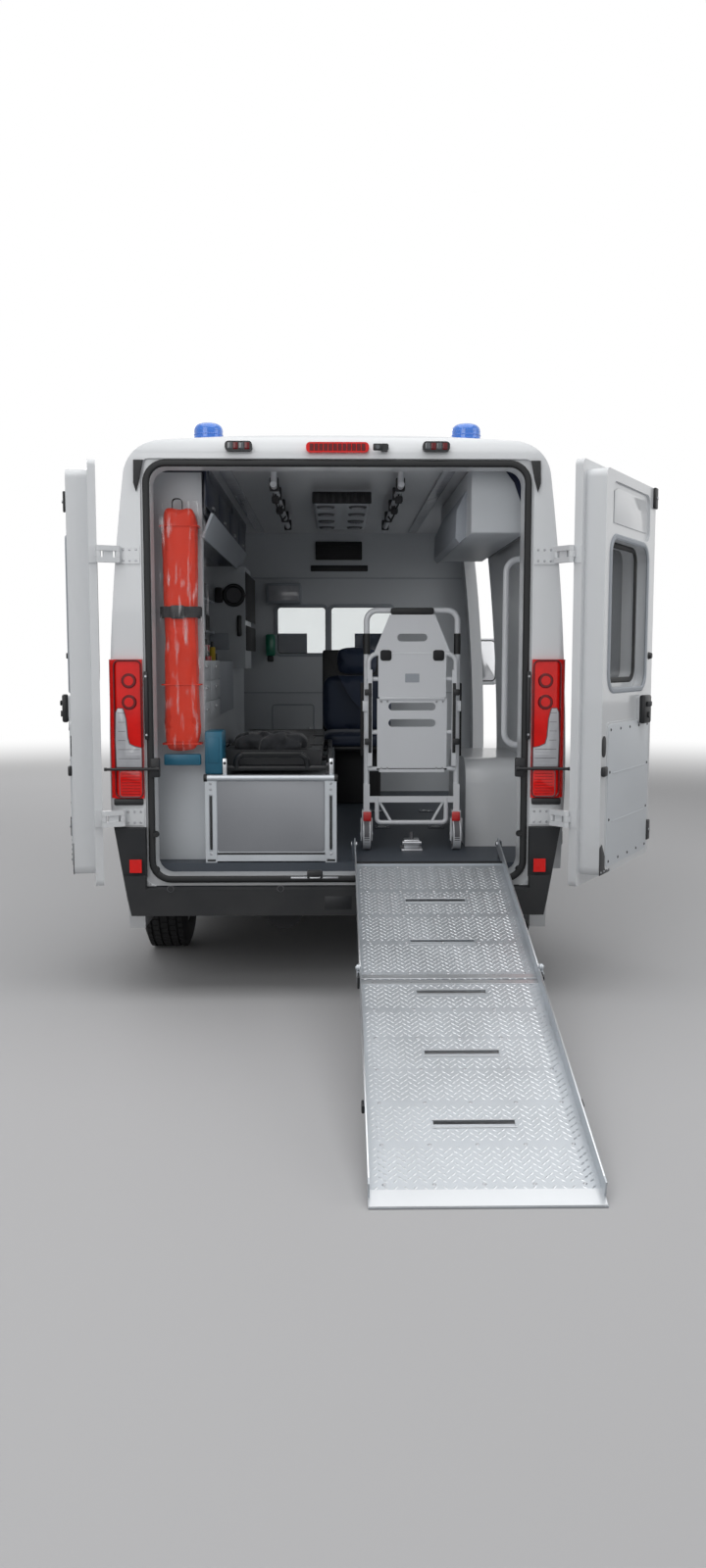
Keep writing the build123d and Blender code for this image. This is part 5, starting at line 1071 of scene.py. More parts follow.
addRuns(overhead, [ceiling["slats"]])
for side, tag, mirror in sides:
    u = ceiling["rail"]
    for w in ceiling["mounts"]:
        addBoxes(overhead, [((u - 0.022, w - 0.020, 2.330), (u + 0.022, w + 0.020, 2.392), 0.006,
                             "plasticBlack")], mirror)
    for w in ceiling["hooks"]:
        hook = bendPath([(u, w, 2.345), (u, w, 2.290), (u - 0.015, w + 0.030, 2.262),
                         (u - 0.030, w + 0.050, 2.285)], 0.014)
        addPart(overhead, sweepPart(hook, circleSection(0.0045, 8), side=(0, 0.3, 1)), "plasticBlack", mirror)
        addBoxes(overhead, [((u - 0.018, w - 0.026, 2.292), (u + 0.018, w + 0.026, 2.326), 0.008,
                             "castDark")], mirror)
    addBoxes(overhead, ceiling["strip"], mirror)
finishPiece(overhead, "ceilingFittings", "body")

# bulkhead: window rubbers, grille, light box, dispenser, embossed hatch with its catch, two rails across
partition = {"face": 2.086, "windows": ((-0.421, -0.069), (-0.045, 0.400)), "windowHeights": (1.572, 1.908),
             "frame": stripSection(0.012, 0.0, 0.009, -0.010),
             "boxes": [((-0.146, 2.068, 2.228), (0.180, 2.086, 2.356), 0.008, "plasticBlack"),
                       ((-0.180, 2.076, 2.150), (0.220, 2.086, 2.192), 0.006, "plasticBlack"),
                       ((-0.488, 1.985, 1.922), (-0.244, 2.086, 2.064), 0.012, "liningGrey"),
                       ((-0.470, 1.980, 1.940), (-0.262, 1.988, 2.046), 0.006, "lampClear"),
                       ((-0.494, 2.000, 1.560), (-0.430, 2.086, 1.712), 0.012, "greenPlastic"),
                       ((-0.484, 1.990, 1.520), (-0.440, 2.030, 1.560), 0.008, "plasticBlack"),
                       ((-0.200, 2.074, 1.000), (-0.180, 2.086, 1.060), 0.004, "zincSteel")],
             "runs": [(((-0.130, 2.064, 2.240), (0.164, 2.070, 2.246), 0.001, "castDark"),
                       (0.0, 0.0, 0.0135), 8),
                      (((-0.880, 2.081, 1.300), (0.880, 2.0855, 1.306), 0.001, "liningGrey"),
                       (0.0, 0.0, 0.800), 2)],
             "hatch": ((-0.453, 0.640), (-0.160, 1.218), 0.020)}
wall = startPiece()
low, high = partition["windowHeights"]
for left, right in partition["windows"]:
    path = rimPath((left - 0.004, low - 0.004), (right + 0.004, high + 0.004), 0.034, partition["face"], 6)
    addPart(wall, sweepPart(path, partition["frame"], closed=True), "liningGrey")
    path = rimPath((left + 0.005, low + 0.005), (right - 0.005, high - 0.005), 0.026,
                   partition["face"] - 0.004, 6)
    addPart(wall, sweepPart(path, circleSection(0.005, 8), closed=True), "rubberBlack")
addBoxes(wall, partition["boxes"])
addRuns(wall, partition["runs"])
hatch = rimPath(*partition["hatch"], partition["face"], 4)
addPart(wall, sweepPart(hatch, circleSection(0.005, 8), closed=True), "liningGrey")
finishPiece(wall, "bulkheadFittings", "body")

# right side: pale cover of the overhead duct and its sloped air outlet
duct = {"plates": [([(0.608, 2.108), (0.846, 2.108), (0.836, 2.230), (0.800, 2.330), (0.742, 2.404),
                     (0.608, 2.404)],
                    -0.8475, -0.836, 0.003, "liningWhite"),
                   ([(0.560, 2.230), (0.608, 2.330), (0.608, 2.108), (0.575, 2.080), (0.556, 2.104)],
                    -0.640, 0.560, 0.004, "liningGrey")],
        "boxes": [((0.606, -0.842, 2.112), (0.620, 0.690, 2.404), 0.004, "liningWhite"),
                  ((0.606, -0.842, 2.104), (0.850, 0.690, 2.118), 0.004, "liningWhite")],
        "slits": (((0.6035, -0.560, 2.250), (0.607, -0.480, 2.262), 0.001, "castDark"), (0.0, 0.12, 0.0), 9)}
ductPiece = startPiece()
addPlates(ductPiece, duct["plates"])
addBoxes(ductPiece, duct["boxes"])
addRuns(ductPiece, [duct["slits"]])
finishPiece(ductPiece, "overheadDuct", "body")
print("ceiling, bulkhead and duct fitted")

# attendant's seat: boxed pedestal, pan, back shell and belt, then its three cushions
seat = {"frame": [((-0.015, 1.340, 0.600), (0.285, 1.640, 0.955), 0.015, "castDark"),
                  ((-0.100, 1.200, 0.955), (0.370, 1.680, 0.985), 0.010, "plasticBlack"),
                  ((-0.095, 1.662, 1.050), (0.365, 1.703, 1.600), 0.015, "plasticBlack")],
        "belt": [(-0.060, 1.595, 1.560), (0.100, 1.578, 1.250), (0.330, 1.480, 1.070)],
        "beltBand": (0.001, 0.022),
        "pad": {"shape": (5.5, 14, 0.003, 14.0), "look": "seatVinyl", "voxel": 0.007, "cap": 0.008,
                "fill": 0.8},
        "pads": {"attendantSeatPad": ((-0.103, 1.192, 0.975), (0.373, 1.600, 1.070)),
                 "attendantBackPad": ((-0.103, 1.590, 1.040), (0.373, 1.690, 1.440)),
                 "attendantHeadPad": ((0.005, 1.595, 1.440), (0.265, 1.690, 1.612))}}
seatPiece = startPiece()
addBoxes(seatPiece, seat["frame"])
addPart(seatPiece, sweepPart(bendPath(seat["belt"], 0.10), bandSection(*seat["beltBand"])), "webbingBlack")
finishPiece(seatPiece, "attendantSeatFrame", "body", ("attendant_seat",))
for name, (low, high) in seat["pads"].items():
    makePad(name, {**seat["pad"], "low": low, "high": high})

# stretcher: side rails, end wheels and catches, buffer, straps; then mattress and folded blanket
bed = {"middle": -0.308, "half": 0.265,
       "rail": [(0.0, -0.640, 1.030), (0.0, -0.600, 1.098), (0.0, -0.120, 1.098), (0.0, -0.080, 1.030)],
       "railRadius": 0.008, "wheels": (-0.720, 0.820), "straps": (-0.40, 0.30),
       "mattress": {"low": (-0.539, -0.705, 1.034), "high": (-0.077, 1.004, 1.108),
                    "shape": (7.0, 20, 0.006, 7.0, 5.0), "look": "clothDark", "voxel": 0.009, "cap": 0.005,
                    "fill": 0.9},
       "blanket": {"low": (-0.508, -0.705, 1.080), "high": (-0.138, -0.388, 1.186),
                   "shape": (3.0, 26, 0.050, 17.0, 1.0), "look": "clothDark", "voxel": 0.006, "cap": 0.006,
                   "fill": 0.4}}
litter = startPiece()
bedPlace = Matrix.Translation((bed["middle"], 0.0, 0.0))
for side, tag, mirror in sides:
    place = bedPlace @ (mirror or Matrix()) @ Matrix.Translation((bed["half"], 0.0, 0.0))
    addPart(litter, sweepPart(bendPath(bed["rail"], 0.03), circleSection(bed["railRadius"], 10)),
            "plasticBlack", place)
    addRods(litter, [((0.010, w, 1.004), (-0.014, w, 1.004), 0.018, 0.018, 20, "castorGrey")
                     for w in bed["wheels"]], place)
    addBoxes(litter, [((-0.012, -0.790, 1.012), (0.012, -0.740, 1.052), 0.006, "castorGrey")], place)
addBoxes(litter, [((-0.140, -0.834, 1.092), (0.140, -0.806, 1.110), 0.008, "rubberBlack")], bedPlace)
addBoxes(litter, [((-0.232, w, 1.104), (0.232, w + 0.048, 1.111), 0.002, "webbingBlack")
                  for w in bed["straps"]], bedPlace)
finishPiece(litter, "stretcherRails", "body")
makePad("stretcherMattress", bed["mattress"])
makePad("foldedBlanket", bed["blanket"])

# stretcher platform: bare front panel with its foot strip, corner posts with screws, rollers and end stops
platform = {"panel": (roundedLoop((-0.555, 0.650), (-0.061, 0.981), 0.010, 3), -0.8862, -0.884, 0.0008,
                      "panelGrey"),
            "footStrip": [((-0.555, -0.8895, 0.636), (-0.061, -0.884, 0.645), 0.001, "castDark")],
            "posts": (-0.610, -0.058), "postScrews": (0.640, 0.940, 0.966), "rollers": (-0.600, -0.016),
            "stops": (-0.520, -0.030)}
stand = startPiece()
addPlates(stand, [platform["panel"]])
addBoxes(stand, platform["footStrip"])
for low in platform["posts"]:
    addBoxes(stand, [((low + 0.0215, -0.8925, 0.660), (low + 0.0305, -0.888, 0.910), 0.002, "rubberBlack"),
                     ((low + 0.004, -0.8895, 0.602), (low + 0.048, -0.840, 0.617), 0.004, "rubberBlack")])
    screws = [(low + 0.026, -0.8945, v) for v in platform["postScrews"]]
    addHeads(stand, screws, 0.006, 0.003, (0, -1, 0), "zincSteel")
for u, reach in zip(platform["rollers"], (-0.0155, 0.0155)):
    addRods(stand, [((u, -0.887, 0.993), (u + reach, -0.887, 0.993), 0.0175, 0.0175, 24, "rubberBlack")])
for u in platform["stops"]:
    addBoxes(stand, [((u - 0.010, -0.876, 1.000), (u + 0.010, -0.862, 1.082), 0.004, "barAluminium")])
    addRods(stand, [((u, -0.879, 1.060), (u, -0.859, 1.060), 0.007, 0.007, 12, "plasticBlack")])
finishPiece(stand, "platformTrim", "body")
print("seat and stretcher dressed")

# stair chair, in its own coordinates: X from its middle, Y from its back, Z from the ground
chair = {"place": (0.363, -0.500, 0.0), "wheel": (0.221, -0.010, 0.6755),
         "strapHalves": ((0.230, 0.248), (-0.250, -0.232)),
         "tread": [(0.050, -0.0205), (0.069, -0.0205), (0.0752, -0.0125), (0.0752, 0.0125), (0.069, 0.0205),
                   (0.050, 0.0205)],
         "screws": [(u, -0.036, v) for v in (1.562, 1.330, 1.005) for u in (0.150, 0.120)],
         "edges": [((0.100, -0.045, 1.528), (0.156, -0.012, 1.580), 0.012, "webbingBlack"),
                   ((0.201, -0.024, 1.282), (0.241, 0.014, 1.334), 0.004, "chairWhite"),
                   ((0.197, -0.041, 1.080), (0.213, -0.036, 1.420), 0.002, "rubberBlack"),
                   ((0.199, -0.046, 1.120), (0.231, -0.014, 1.150), 0.004, "plasticBlack"),
                   ((0.199, -0.046, 1.360), (0.231, -0.014, 1.390), 0.004, "plasticBlack"),
                   ((0.198, -0.044, 0.744), (0.238, -0.036, 0.790), 0.003, "redPlastic")],
         "bars": [((0.190, -0.010, 0.675), (0.252, -0.010, 0.675), 0.013, 0.013, 20, "zincSteel"),
                  ((0.170, -0.012, 0.860), (0.100, -0.020, 0.738), 0.007, 0.007, 12, "chairWhite"),
                  ((0.221, 0.0, 1.560), (0.221, 0.0, 1.660), 0.0165, 0.0165, 20, "rubberBlack")],
         "headrest": [((-0.105, -0.030, 1.752), (0.105, 0.020, 1.784), 0.010, "rubberBlack")],
         "middle": [((-0.172, -0.0335, 0.996), (0.172, -0.016, 1.004), 0.002, "rubberBlack"),
                    ((-0.160, -0.038, 1.340), (0.160, -0.020, 1.352), 0.003, "chairWhite"),
                    ((-0.034, -0.0365, 1.424), (0.034, -0.0335, 1.466), 0.001, "liningGrey")],
         "floorLock": [((-0.052, -0.090, 0.600), (0.052, 0.030, 0.612), 0.003, "zincSteel"),
                       ((-0.040, -0.060, 0.610), (0.040, 0.010, 0.655), 0.008, "zincSteel")],
         "lockRods": [((-0.046, -0.066, 0.640), (0.046, -0.066, 0.640), 0.009, 0.009, 16, "zincSteel"),
                      ((0.0, -0.040, 0.650), (0.0, -0.040, 0.690), 0.009, 0.009, 16, "castorGrey")]}
chairPiece = startPiece()
chairPlace = Matrix.Translation(chair["place"])
addBoxes(chairPiece, chair["headrest"], chairPlace)
for side, tag, mirror in sides:
    place = chairPlace @ (mirror or Matrix())
    addBoxes(chairPiece, chair["edges"], place)
    addPart(chairPiece, turnedPart(chair["tread"], chair["wheel"], 40), "castorGrey", place)
    addRods(chairPiece, chair["bars"], place)
    addHeads(chairPiece, chair["screws"], 0.005, 0.003, (0, -1, 0), "zincSteel", place)
for low, high in chair["strapHalves"]:
    addBoxes(chairPiece, [((low, 0.020, 1.060), (high, 0.060, 1.420), 0.005, "webbingBlack")], chairPlace)
addBoxes(chairPiece, chair["middle"] + chair["floorLock"], chairPlace)
addRods(chairPiece, chair["lockRods"], chairPlace)
finishPiece(chairPiece, "stairChairTrim", "body")
print("stair chair dressed")

# anchor plates on the floor: a ring recess and four screws each
anchor = {"places": ((0.25, 0.25), (0.55, 0.25), (0.25, 0.95), (0.55, 0.95)), "ring": 0.022,
          "ringHeight": 0.6045, "screwOffset": 0.034, "screwHeight": 0.6048}
anchors = startPiece()
for u, w in anchor["places"]:
    rim = circlePath((u, w, anchor["ringHeight"]), anchor["ring"], 24, (0, 1))
    addPart(anchors, sweepPart(rim, circleSection(0.0025, 6), closed=True, side=(0, 0, 1)), "zincSteel")
    reach = anchor["screwOffset"]
    screws = [(u + du, w + dw, anchor["screwHeight"]) for du in (-reach, reach) for dw in (-reach, reach)]
    addHeads(anchors, screws, 0.0045, 0.002, (0, 0, 1), "zincSteel")
finishPiece(anchors, "anchorScrews", "body")

# door checks: bars from the jamb sockets past the lamps towards the doors; pins and bolts of the hinges
check = {"rods": [((0.806, -1.037, 1.048), (1.036, -1.051, 1.048), 0.0065, 0.0065, 16, "plasticBlack"),
                  ((1.026, -1.0500, 1.048), (1.038, -1.0510, 1.048), 0.0078, 0.0078, 16, "rubberBlack"),
                  ((0.796, -1.036, 1.048), (0.812, -1.036, 1.048), 0.011, 0.011, 18, "plasticBlack")],
         "hinges": (0.830, 1.990), "boltColumns": (0.884, 0.912, 0.940), "boltRow": 0.024, "pinHalf": 0.0165}
checks = startPiece()
for side, tag, mirror in sides:
    addRods(checks, check["rods"], mirror)
    for height in check["hinges"]:
        bolts = [(u, -1.0225, height + v) for u in check["boltColumns"]
                 for v in (-check["boltRow"], check["boltRow"])]
        addHeads(checks, bolts, 0.0065, 0.004, (0, -1, 0), "zincSteel", mirror, sides=6)
        low, high = height - check["pinHalf"], height + check["pinHalf"]
        addRods(checks, [((0.960, -1.050, low), (0.960, -1.050, high), 0.0085, 0.0085, 16, "zincSteel")],
                mirror)
finishPiece(checks, "doorChecks", "body")

# clear film hung over the bag, its last fifth turned in round the column's edge
film = {"left": -0.801, "right": -0.590, "low": 1.116, "high": 2.236, "front": -0.9110, "columns": 18,
        "rows": 60, "ripple": 0.0045, "rippleWidth": 22.0, "rippleHeight": 5.0, "lift": 0.004,
        "turnAt": 0.80, "turnDepth": 0.090}
filmSheet = bmesh.new()
bmesh.ops.create_grid(filmSheet, x_segments=film["columns"], y_segments=film["rows"], size=1.0)
for vert in filmSheet.verts:
    t = (vert.co.x + 1) / 2
    u = film["left"] + (film["right"] - film["left"]) * t
    v = film["low"] + (film["high"] - film["low"]) * (vert.co.y + 1) / 2
    wave = noise.noise(Vector((u * film["rippleWidth"], 0.0, v * film["rippleHeight"])))
    ripple = film["ripple"] * wave - film["lift"]
    turned = max(0.0, (t - film["turnAt"]) / (1 - film["turnAt"])) ** 1.5
    vert.co = (u, film["front"] + ripple + film["turnDepth"] * turned, v)
filmArea = sum(face.calc_area() for face in filmSheet.faces)
filmPiece = startPiece()
addPart(filmPiece, filmSheet, "filmClear")
filmObject = finishPiece(filmPiece, "bagFilm", "body", angle=80.0)
print("checks and film added")

# rub strips as (node, start, end, steps along), laid on the CAD skin at one height
strip = {"height": 0.655,
         "section": [(-0.038, -0.002), (-0.038, 0.003), (-0.030, 0.008), (0.030, 0.008), (0.038, 0.003),
                     (0.038, -0.002)],
         "right": [("side_wall_right", -0.690, -0.330, 8), ("side_wall_right", 0.330, 0.640, 6),
                   ("side_wall_right", 1.990, 2.120, 4), ("sliding_door", -0.500, 0.700, 16)],
         "left": [("side_wall_left", -0.690, -0.330, 8), ("side_wall_left", 0.330, 2.120, 24)],
         "door": (2.185, 2.995, 12)}
outsideReach = 1.6  # lines towards the van's sides start this far out


def onSide(node, side, w, v):
    return onSurface(node, (side * outsideReach, w, v), (-side, 0.0, 0.0))


def addStrip(piece, side, node, start, end, count):
    points = []
    for k in range(count + 1):
        place, normal = onSide(node, side, start + (end - start) * k / count, strip["height"])
        points.append(place + normal * 0.0015)
    section = [(-side * u, v) for u, v in strip["section"]]
    addPart(piece, sweepPart(points, section, side=(side, 0, 0)), "trimBlack")


# outside of the body: sliding door's rubber and handle, pressed beads and fuel flap on the left, marker lamps
outer = {"rubber": stripSection(0.011, -0.002, 0.008, 0.004),
         "bead": stripSection(0.012, -0.002, 0.006, 0.0035),
         "pressings": (((-0.700, 1.300), (0.960, 2.060)), ((1.150, 1.300), (2.020, 2.060))),
         "pressCorner": 0.090, "beadStep": 0.070, "flap": ((0.900, 0.880), (1.080, 1.060), 0.030, 6),
         "markers": (("side_wall_left", -0.70), ("side_wall_left", 1.20), ("side_wall_right", -0.70)),
         "markerHeight": 0.790,
         "handle": [((0.004, 0.580, 1.100), (0.026, 0.705, 1.136), 0.008, "plasticBlack"),
                    ((-0.004, 0.570, 1.080), (0.006, 0.715, 1.156), 0.006, "trimBlack")]}
outside = startPiece()
for side, tag, mirror in sides:
    for row in strip[tag]:
        addStrip(outside, side, *row)
pane = paneRim("sliding_glass", (1, 0, 0))
addPart(outside, sweepPart(pane, outer["rubber"], closed=True, side=(1, 0, 0)), "rubberBlack")
grip = onSide("sliding_door", 1, 0.640, 1.120)[0]
addBoxes(outside, outer["handle"], Matrix.Translation((grip.x, 0.0, 0.0)))
for low, high in outer["pressings"]:
    bead = []
    corners = roundedLoop(low, high, outer["pressCorner"], 5)
    for (w0, v0), (w1, v1) in zip(corners, corners[1:] + corners[:1]):
        cuts = max(1, int(max(abs(w1 - w0), abs(v1 - v0)) / outer["beadStep"]))
        for k in range(cuts):
            place, normal = onSide("side_wall_left", -1, w0 + (w1 - w0) * k / cuts, v0 + (v1 - v0) * k / cuts)
            bead.append(place + normal * 0.0005)
    addPart(outside, sweepPart(bead, outer["bead"], closed=True, side=(-1, 0, 0)), "paintWhite")
flapSeam = []
for w, v in roundedLoop(*outer["flap"]):
    place, normal = onSide("side_wall_left", -1, w, v)
    flapSeam.append(place + normal * 0.001)
addPart(outside, sweepPart(flapSeam, circleSection(0.003, 6), closed=True, side=(-1, 0, 0)), "rubberBlack")
for node, w in outer["markers"]:
    side = 1 if node.endswith("right") else -1
    spot = onSide(node, side, w, outer["markerHeight"])[0]
    low, high = sorted((spot.x - side * 0.004, spot.x + side * 0.008))
    addBoxes(outside, [((low, w - 0.032, 0.777), (high, w + 0.032, 0.803), 0.005, "bagOrange")])
finishPiece(outside, "sideTrim", "body")

# cab doors: strip, window rubber and handle; mirror glass with its rim, and the mirror's foot
cabDoor = {"grip": (2.270, 1.160),
           "recess": (-0.003, 0.006, (2.200, 1.120), (2.340, 1.200), 0.004, "trimBlack"),
           "handle": (0.006, 0.028, (2.212, 1.148), (2.330, 1.180), 0.009, "plasticBlack"),
           "mirrorGlass": (roundedLoop((1.080, 1.375), (1.236, 1.678), 0.030, 6), 2.9355, 2.9325, 0.001,
                           "chrome"),
           "mirrorRim": ((1.076, 1.371), (1.240, 1.682), 0.034, 2.9345, 6),
           "mirrorFoot": [((1.005, 2.945, 1.326), (1.078, 3.004, 1.390), 0.012, "plasticBlack")]}
for side, tag, mirror in sides:
    piece = startPiece()
    node = f"cab_door_{tag}"
    addStrip(piece, side, node, *strip["door"])
    pane = paneRim(f"cab_glass_{tag}", (side, 0, 0))
    addPart(piece, sweepPart(pane, outer["rubber"], closed=True, side=(side, 0, 0)), "rubberBlack")
    grip = onSide(node, side, *cabDoor["grip"])[0]
    for inner, reach, start, end, bevel, look in (cabDoor["recess"], cabDoor["handle"]):
        low, high = sorted((grip.x + side * inner, grip.x + side * reach))
        addBoxes(piece, [((low, *start), (high, *end), bevel, look)])
    addPlates(piece, [cabDoor["mirrorGlass"]], mirror)
    addPart(piece, sweepPart(rimPath(*cabDoor["mirrorRim"]), circleSection(0.005, 8), closed=True),
            "plasticBlack", mirror)
    addBoxes(piece, cabDoor["mirrorFoot"], mirror)
    finishPiece(piece, f"cabDoorTrim_{tag}", node)
print("sides dressed")

# front: windscreen rubber, headlamp bowls as (from, to, share of the radius, look), fog lamps, grille
# bars, wipers
nose = {"from": 5.2, "screenRubber": stripSection(0.026, -0.003, 0.020, 0.003), "screenFacing": (0, 0.6, 0.8),
        "headlamps": ((0.770, 0.930, 0.074), (0.640, 0.890, 0.052)),
        "bowl": ((-0.004, 0.002, 1.18, "plasticBlack"), (-0.002, 0.004, 1.0, "chrome"),
                 (0.001, 0.007, 0.82, "lampClear"), (0.004, 0.010, 0.40, "chrome")),
        "fogLamp": (0.700, 0.430), "sensors": (0.300, 0.820), "sensorHeight": 0.540,
        "bars": 4, "barLow": 0.345, "barStep": 0.028, "barHalf": 0.42, "barCuts": 12, "barRadius": 0.0055,
        "wipers": ((0.520, -0.100), (-0.120, -0.660)), "wiperHeight": 1.405, "wiperArch": 0.030,
        "wiperCuts": 8}
front = startPiece()
pane = paneRim("front_glass", nose["screenFacing"])
addPart(front, sweepPart(pane, nose["screenRubber"], closed=True, side=nose["screenFacing"]), "rubberBlack")


def onFront(node, u, v):
    return onSurface(node, (u, nose["from"], v), (0, -1, 0))


for side, tag, mirror in sides:
    for u, v, radius in nose["headlamps"]:
        place, normal = onFront("headlamps", side * u, v)
        for start, end, share, look in nose["bowl"]:
            size = radius * share
            addRods(front, [(place + normal * start, place + normal * end, size, size * 0.92, 36, look)])
    place, normal = onFront("front_bumper", side * nose["fogLamp"][0], nose["fogLamp"][1])
    addRods(front, [(place - normal * 0.004, place + normal * 0.003, 0.062, 0.062, 36, "plasticBlack"),
                    (place, place + normal * 0.005, 0.050, 0.046, 36, "lampClear")])
    for u in nose["sensors"]:
        place, normal = onFront("front_bumper", side * u, nose["sensorHeight"])
        addRods(front, [(place - normal * 0.002, place + normal * 0.002, 0.012, 0.012, 20, "castorGrey")])
for k in range(nose["bars"]):
    path = []
    for n in range(nose["barCuts"] + 1):
        u = nose["barHalf"] * (2 * n / nose["barCuts"] - 1)
        place, normal = onFront("front_bumper", u, nose["barLow"] + k * nose["barStep"])
        path.append(place + normal * 0.001)
    addPart(front, sweepPart(path, circleSection(nose["barRadius"], 8), side=(0, 0, 1)), "rubberBlack")
for base, tip in nose["wipers"]:
    arm = []
    for n in range(nose["wiperCuts"] + 1):
        share = n / nose["wiperCuts"]
        height = nose["wiperHeight"] + 0.010 + nose["wiperArch"] * sin(pi * share)
        place, normal = onFront("front_glass", base + (tip - base) * share, height)
        arm.append(place + normal * 0.010)
    addPart(front, sweepPart(arm, circleSection(0.006, 8), side=(0, 0, 1)), "plasticBlack")
    blade = [point - Vector((0, 0.004, 0)) for point in arm[2:]]
    addPart(front, sweepPart(blade, bandSection(0.003, 0.008), side=(0, 0, 1)), "rubberBlack")
    addRods(front, [(arm[0] - Vector((0, 0, 0.016)), arm[0] + Vector((0, 0, 0.010)), 0.014, 0.014, 20,
                     "plasticBlack")])
finishPiece(front, "frontTrim", "body")

# washer jets ride on the bonnet
jet = {"places": (-0.30, 0.30), "along": 3.80,
       "box": [((-0.014, -0.010, -0.003), (0.014, 0.010, 0.008), 0.004, "plasticBlack")]}
jets = startPiece()
for u in jet["places"]:
    place = onSurface("bonnet", (u, jet["along"], 2.0), (0, 0, -1))[0]
    addBoxes(jets, jet["box"], Matrix.Translation(place))
finishPiece(jets, "washerJets", "bonnet")

# cab: dials as (x, radius), radio with its knobs, and the gear lever, seen through the glass
cab = {"from": 2.70, "dials": ((-0.560, 0.034), (-0.450, 0.046), (-0.340, 0.034)), "dialHeight": 1.190,
       "radio": (0.050, 1.120),
       "radioBox": [((-0.095, -0.008, -0.055), (0.095, 0.004, 0.055), 0.006, "plasticBlack")],
       "knobs": [((u, -0.010, -0.085), (u, -0.022, -0.085), 0.016, 0.013, 20, "castorGrey")
                 for u in (-0.055, 0.0, 0.055)],
       "lever": (0.050, 0.900),
       "leverRods": [((0.0, 0.0, 0.0), (0.0, -0.070, 0.100), 0.008, 0.008, 14, "plasticBlack"),
                     ((0.0, -0.070, 0.100), (0.0, -0.080, 0.145), 0.020, 0.024, 20, "plasticBlack")]}
cabPiece = startPiece()
for u, radius in cab["dials"]:
    place, normal = onSurface("dashboard", (u, cab["from"], cab["dialHeight"]), (0, 1, 0))
    addRods(cabPiece, [(place - normal * 0.002, place + normal * 0.008, radius, radius, 32, "plasticBlack")])
u, v = cab["radio"]
place = Matrix.Translation(onSurface("dashboard", (u, cab["from"], v), (0, 1, 0))[0])
addBoxes(cabPiece, cab["radioBox"], place)
addRods(cabPiece, cab["knobs"], place)
u, v = cab["lever"]
place = Matrix.Translation(onSurface("dashboard", (u, cab["from"], v), (0, 1, 0))[0])
addRods(cabPiece, cab["leverRods"], place)
finishPiece(cabPiece, "cabTrim", "body")
print("front dressed")

# plain studio: pale floor that fades to white for the camera, and white seen behind everything
studio = {"floorSize": 60.0, "floorPlace": (0.0, 1.0, -0.001), "floorRough": 0.85, "worldLight": 0.26,
          "paleFloor": (0.56, 0.56, 0.57), "fadeStart": 7.0, "fadeEnd": 17.0}
world = bpy.data.worlds.new("studioWorld")
bpy.context.scene.world = world
world.use_nodes = True
worldTree = world.node_tree
background = worldTree.nodes["Background"]
background.inputs["Color"].default_value = (1.0, 1.0, 1.0, 1.0)
paths = worldTree.nodes.new("ShaderNodeLightPath")
seen = mathNode(worldTree, "MAXIMUM", paths.outputs["Is Camera Ray"], paths.outputs["Is Glossy Ray"])
seen = mathNode(worldTree, "MAXIMUM", seen, paths.outputs["Is Transmission Ray"])
worldStrength = worldTree.nodes.new("ShaderNodeMapRange")
worldTree.links.new(seen, worldStrength.inputs["Value"])
worldStrength.inputs["To Min"].default_value = studio["worldLight"]
worldStrength.inputs["To Max"].default_value = 1.0
worldTree.links.new(worldStrength.outputs[0], background.inputs["Strength"])
bpy.context.scene.view_settings.view_transform = "Standard"

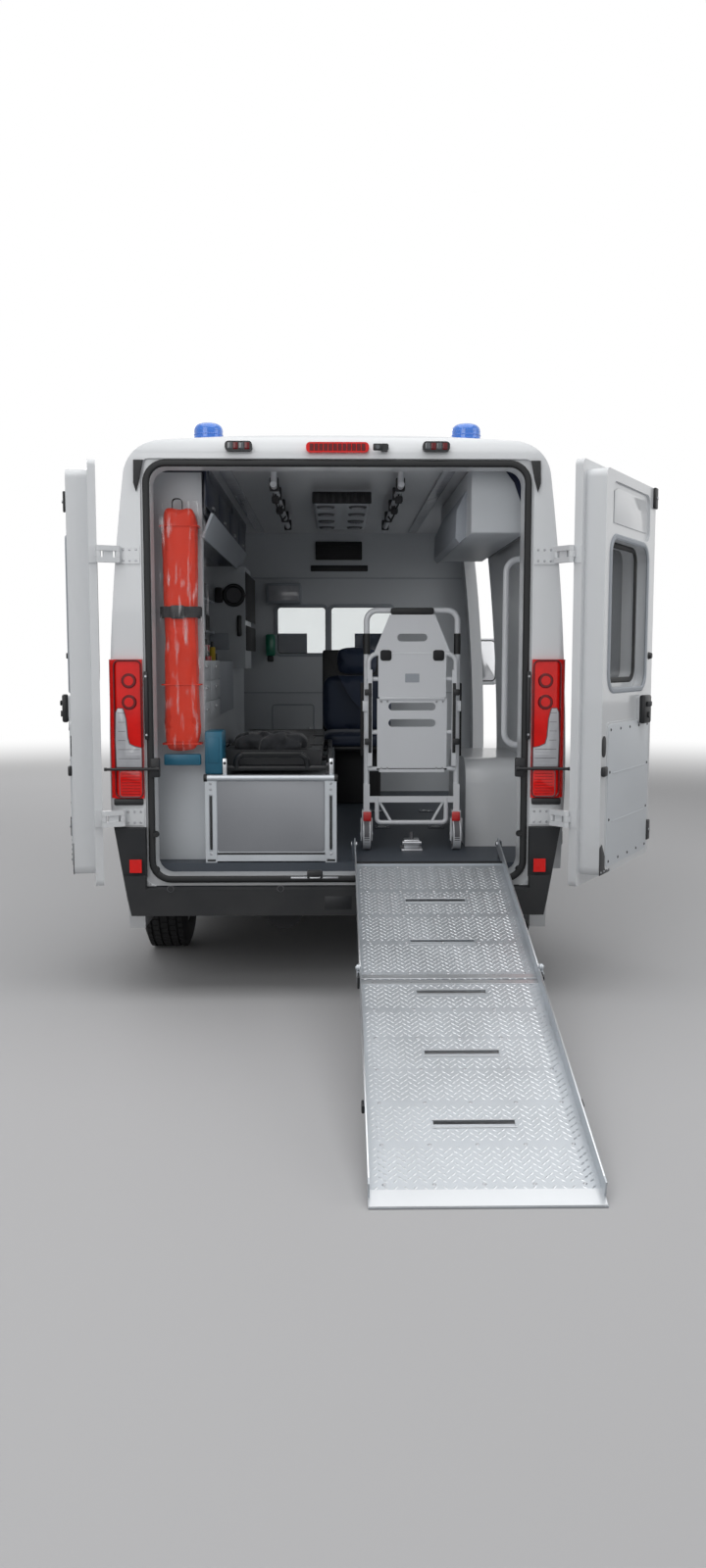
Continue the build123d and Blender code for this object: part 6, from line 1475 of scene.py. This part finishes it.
floorMesh = bmesh.new()
bmesh.ops.create_grid(floorMesh, x_segments=1, y_segments=1, size=studio["floorSize"] / 2)
floorData = bpy.data.meshes.new("studioFloor")
floorMesh.to_mesh(floorData)
floorMesh.free()
floorObject = bpy.data.objects.new("studioFloor", floorData)
floorObject.location = studio["floorPlace"]
bpy.context.scene.collection.objects.link(floorObject)
floorMaterial = bpy.data.materials.new("paleFloor")
floorMaterial.use_nodes = True
floorTree = floorMaterial.node_tree
floorShader = floorTree.nodes["Principled BSDF"]
floorShader.inputs["Base Color"].default_value = (*studio["paleFloor"], 1.0)
floorShader.inputs["Roughness"].default_value = studio["floorRough"]
reach = floorTree.nodes.new("ShaderNodeVectorMath")
reach.operation = "LENGTH"
floorTree.links.new(objectPoint(floorTree), reach.inputs[0])
fade = floorTree.nodes.new("ShaderNodeMapRange")
fade.interpolation_type = "SMOOTHSTEP"
floorTree.links.new(reach.outputs["Value"], fade.inputs["Value"])
fade.inputs["From Min"].default_value = studio["fadeStart"]
fade.inputs["From Max"].default_value = studio["fadeEnd"]
floorPaths = floorTree.nodes.new("ShaderNodeLightPath")
whiteFloor = floorTree.nodes.new("ShaderNodeEmission")
floorMix = floorTree.nodes.new("ShaderNodeMixShader")
share = mathNode(floorTree, "MULTIPLY", fade.outputs[0], floorPaths.outputs["Is Camera Ray"])
floorTree.links.new(share, floorMix.inputs["Fac"])
floorTree.links.new(floorShader.outputs["BSDF"], floorMix.inputs[1])
floorTree.links.new(whiteFloor.outputs["Emission"], floorMix.inputs[2])
floorTree.links.new(floorMix.outputs["Shader"], floorTree.nodes["Material Output"].inputs["Surface"])
floorData.materials.append(floorMaterial)

lamps = {"skyLamp": {"place": (0.0, -1.5, 7.5), "aim": (0.0, 0.6, 0.8), "size": 8.0, "watts": 300.0},
         "rearLamp": {"place": (-3.2, -8.0, 4.2), "aim": (0.0, -0.8, 1.2), "size": 4.5, "watts": 130.0},
         "sideLamp": {"place": (6.5, -3.0, 4.0), "aim": (0.0, 0.5, 1.2), "size": 4.0, "watts": 70.0},
         "frontLamp": {"place": (-4.0, 9.0, 4.5), "aim": (0.0, 3.0, 1.0), "size": 4.0, "watts": 110.0}}
for name, spec in lamps.items():
    light = bpy.data.lights.new(name, "AREA")
    light.shape = "SQUARE"
    light.size = spec["size"]
    light.energy = spec["watts"]
    lampObject = bpy.data.objects.new(name, light)
    lampObject.location = spec["place"]
    direction = Vector(spec["aim"]) - Vector(spec["place"])
    lampObject.rotation_euler = direction.to_track_quat("-Z", "Y").to_euler()
    bpy.context.scene.collection.objects.link(lampObject)
print("studio ready")
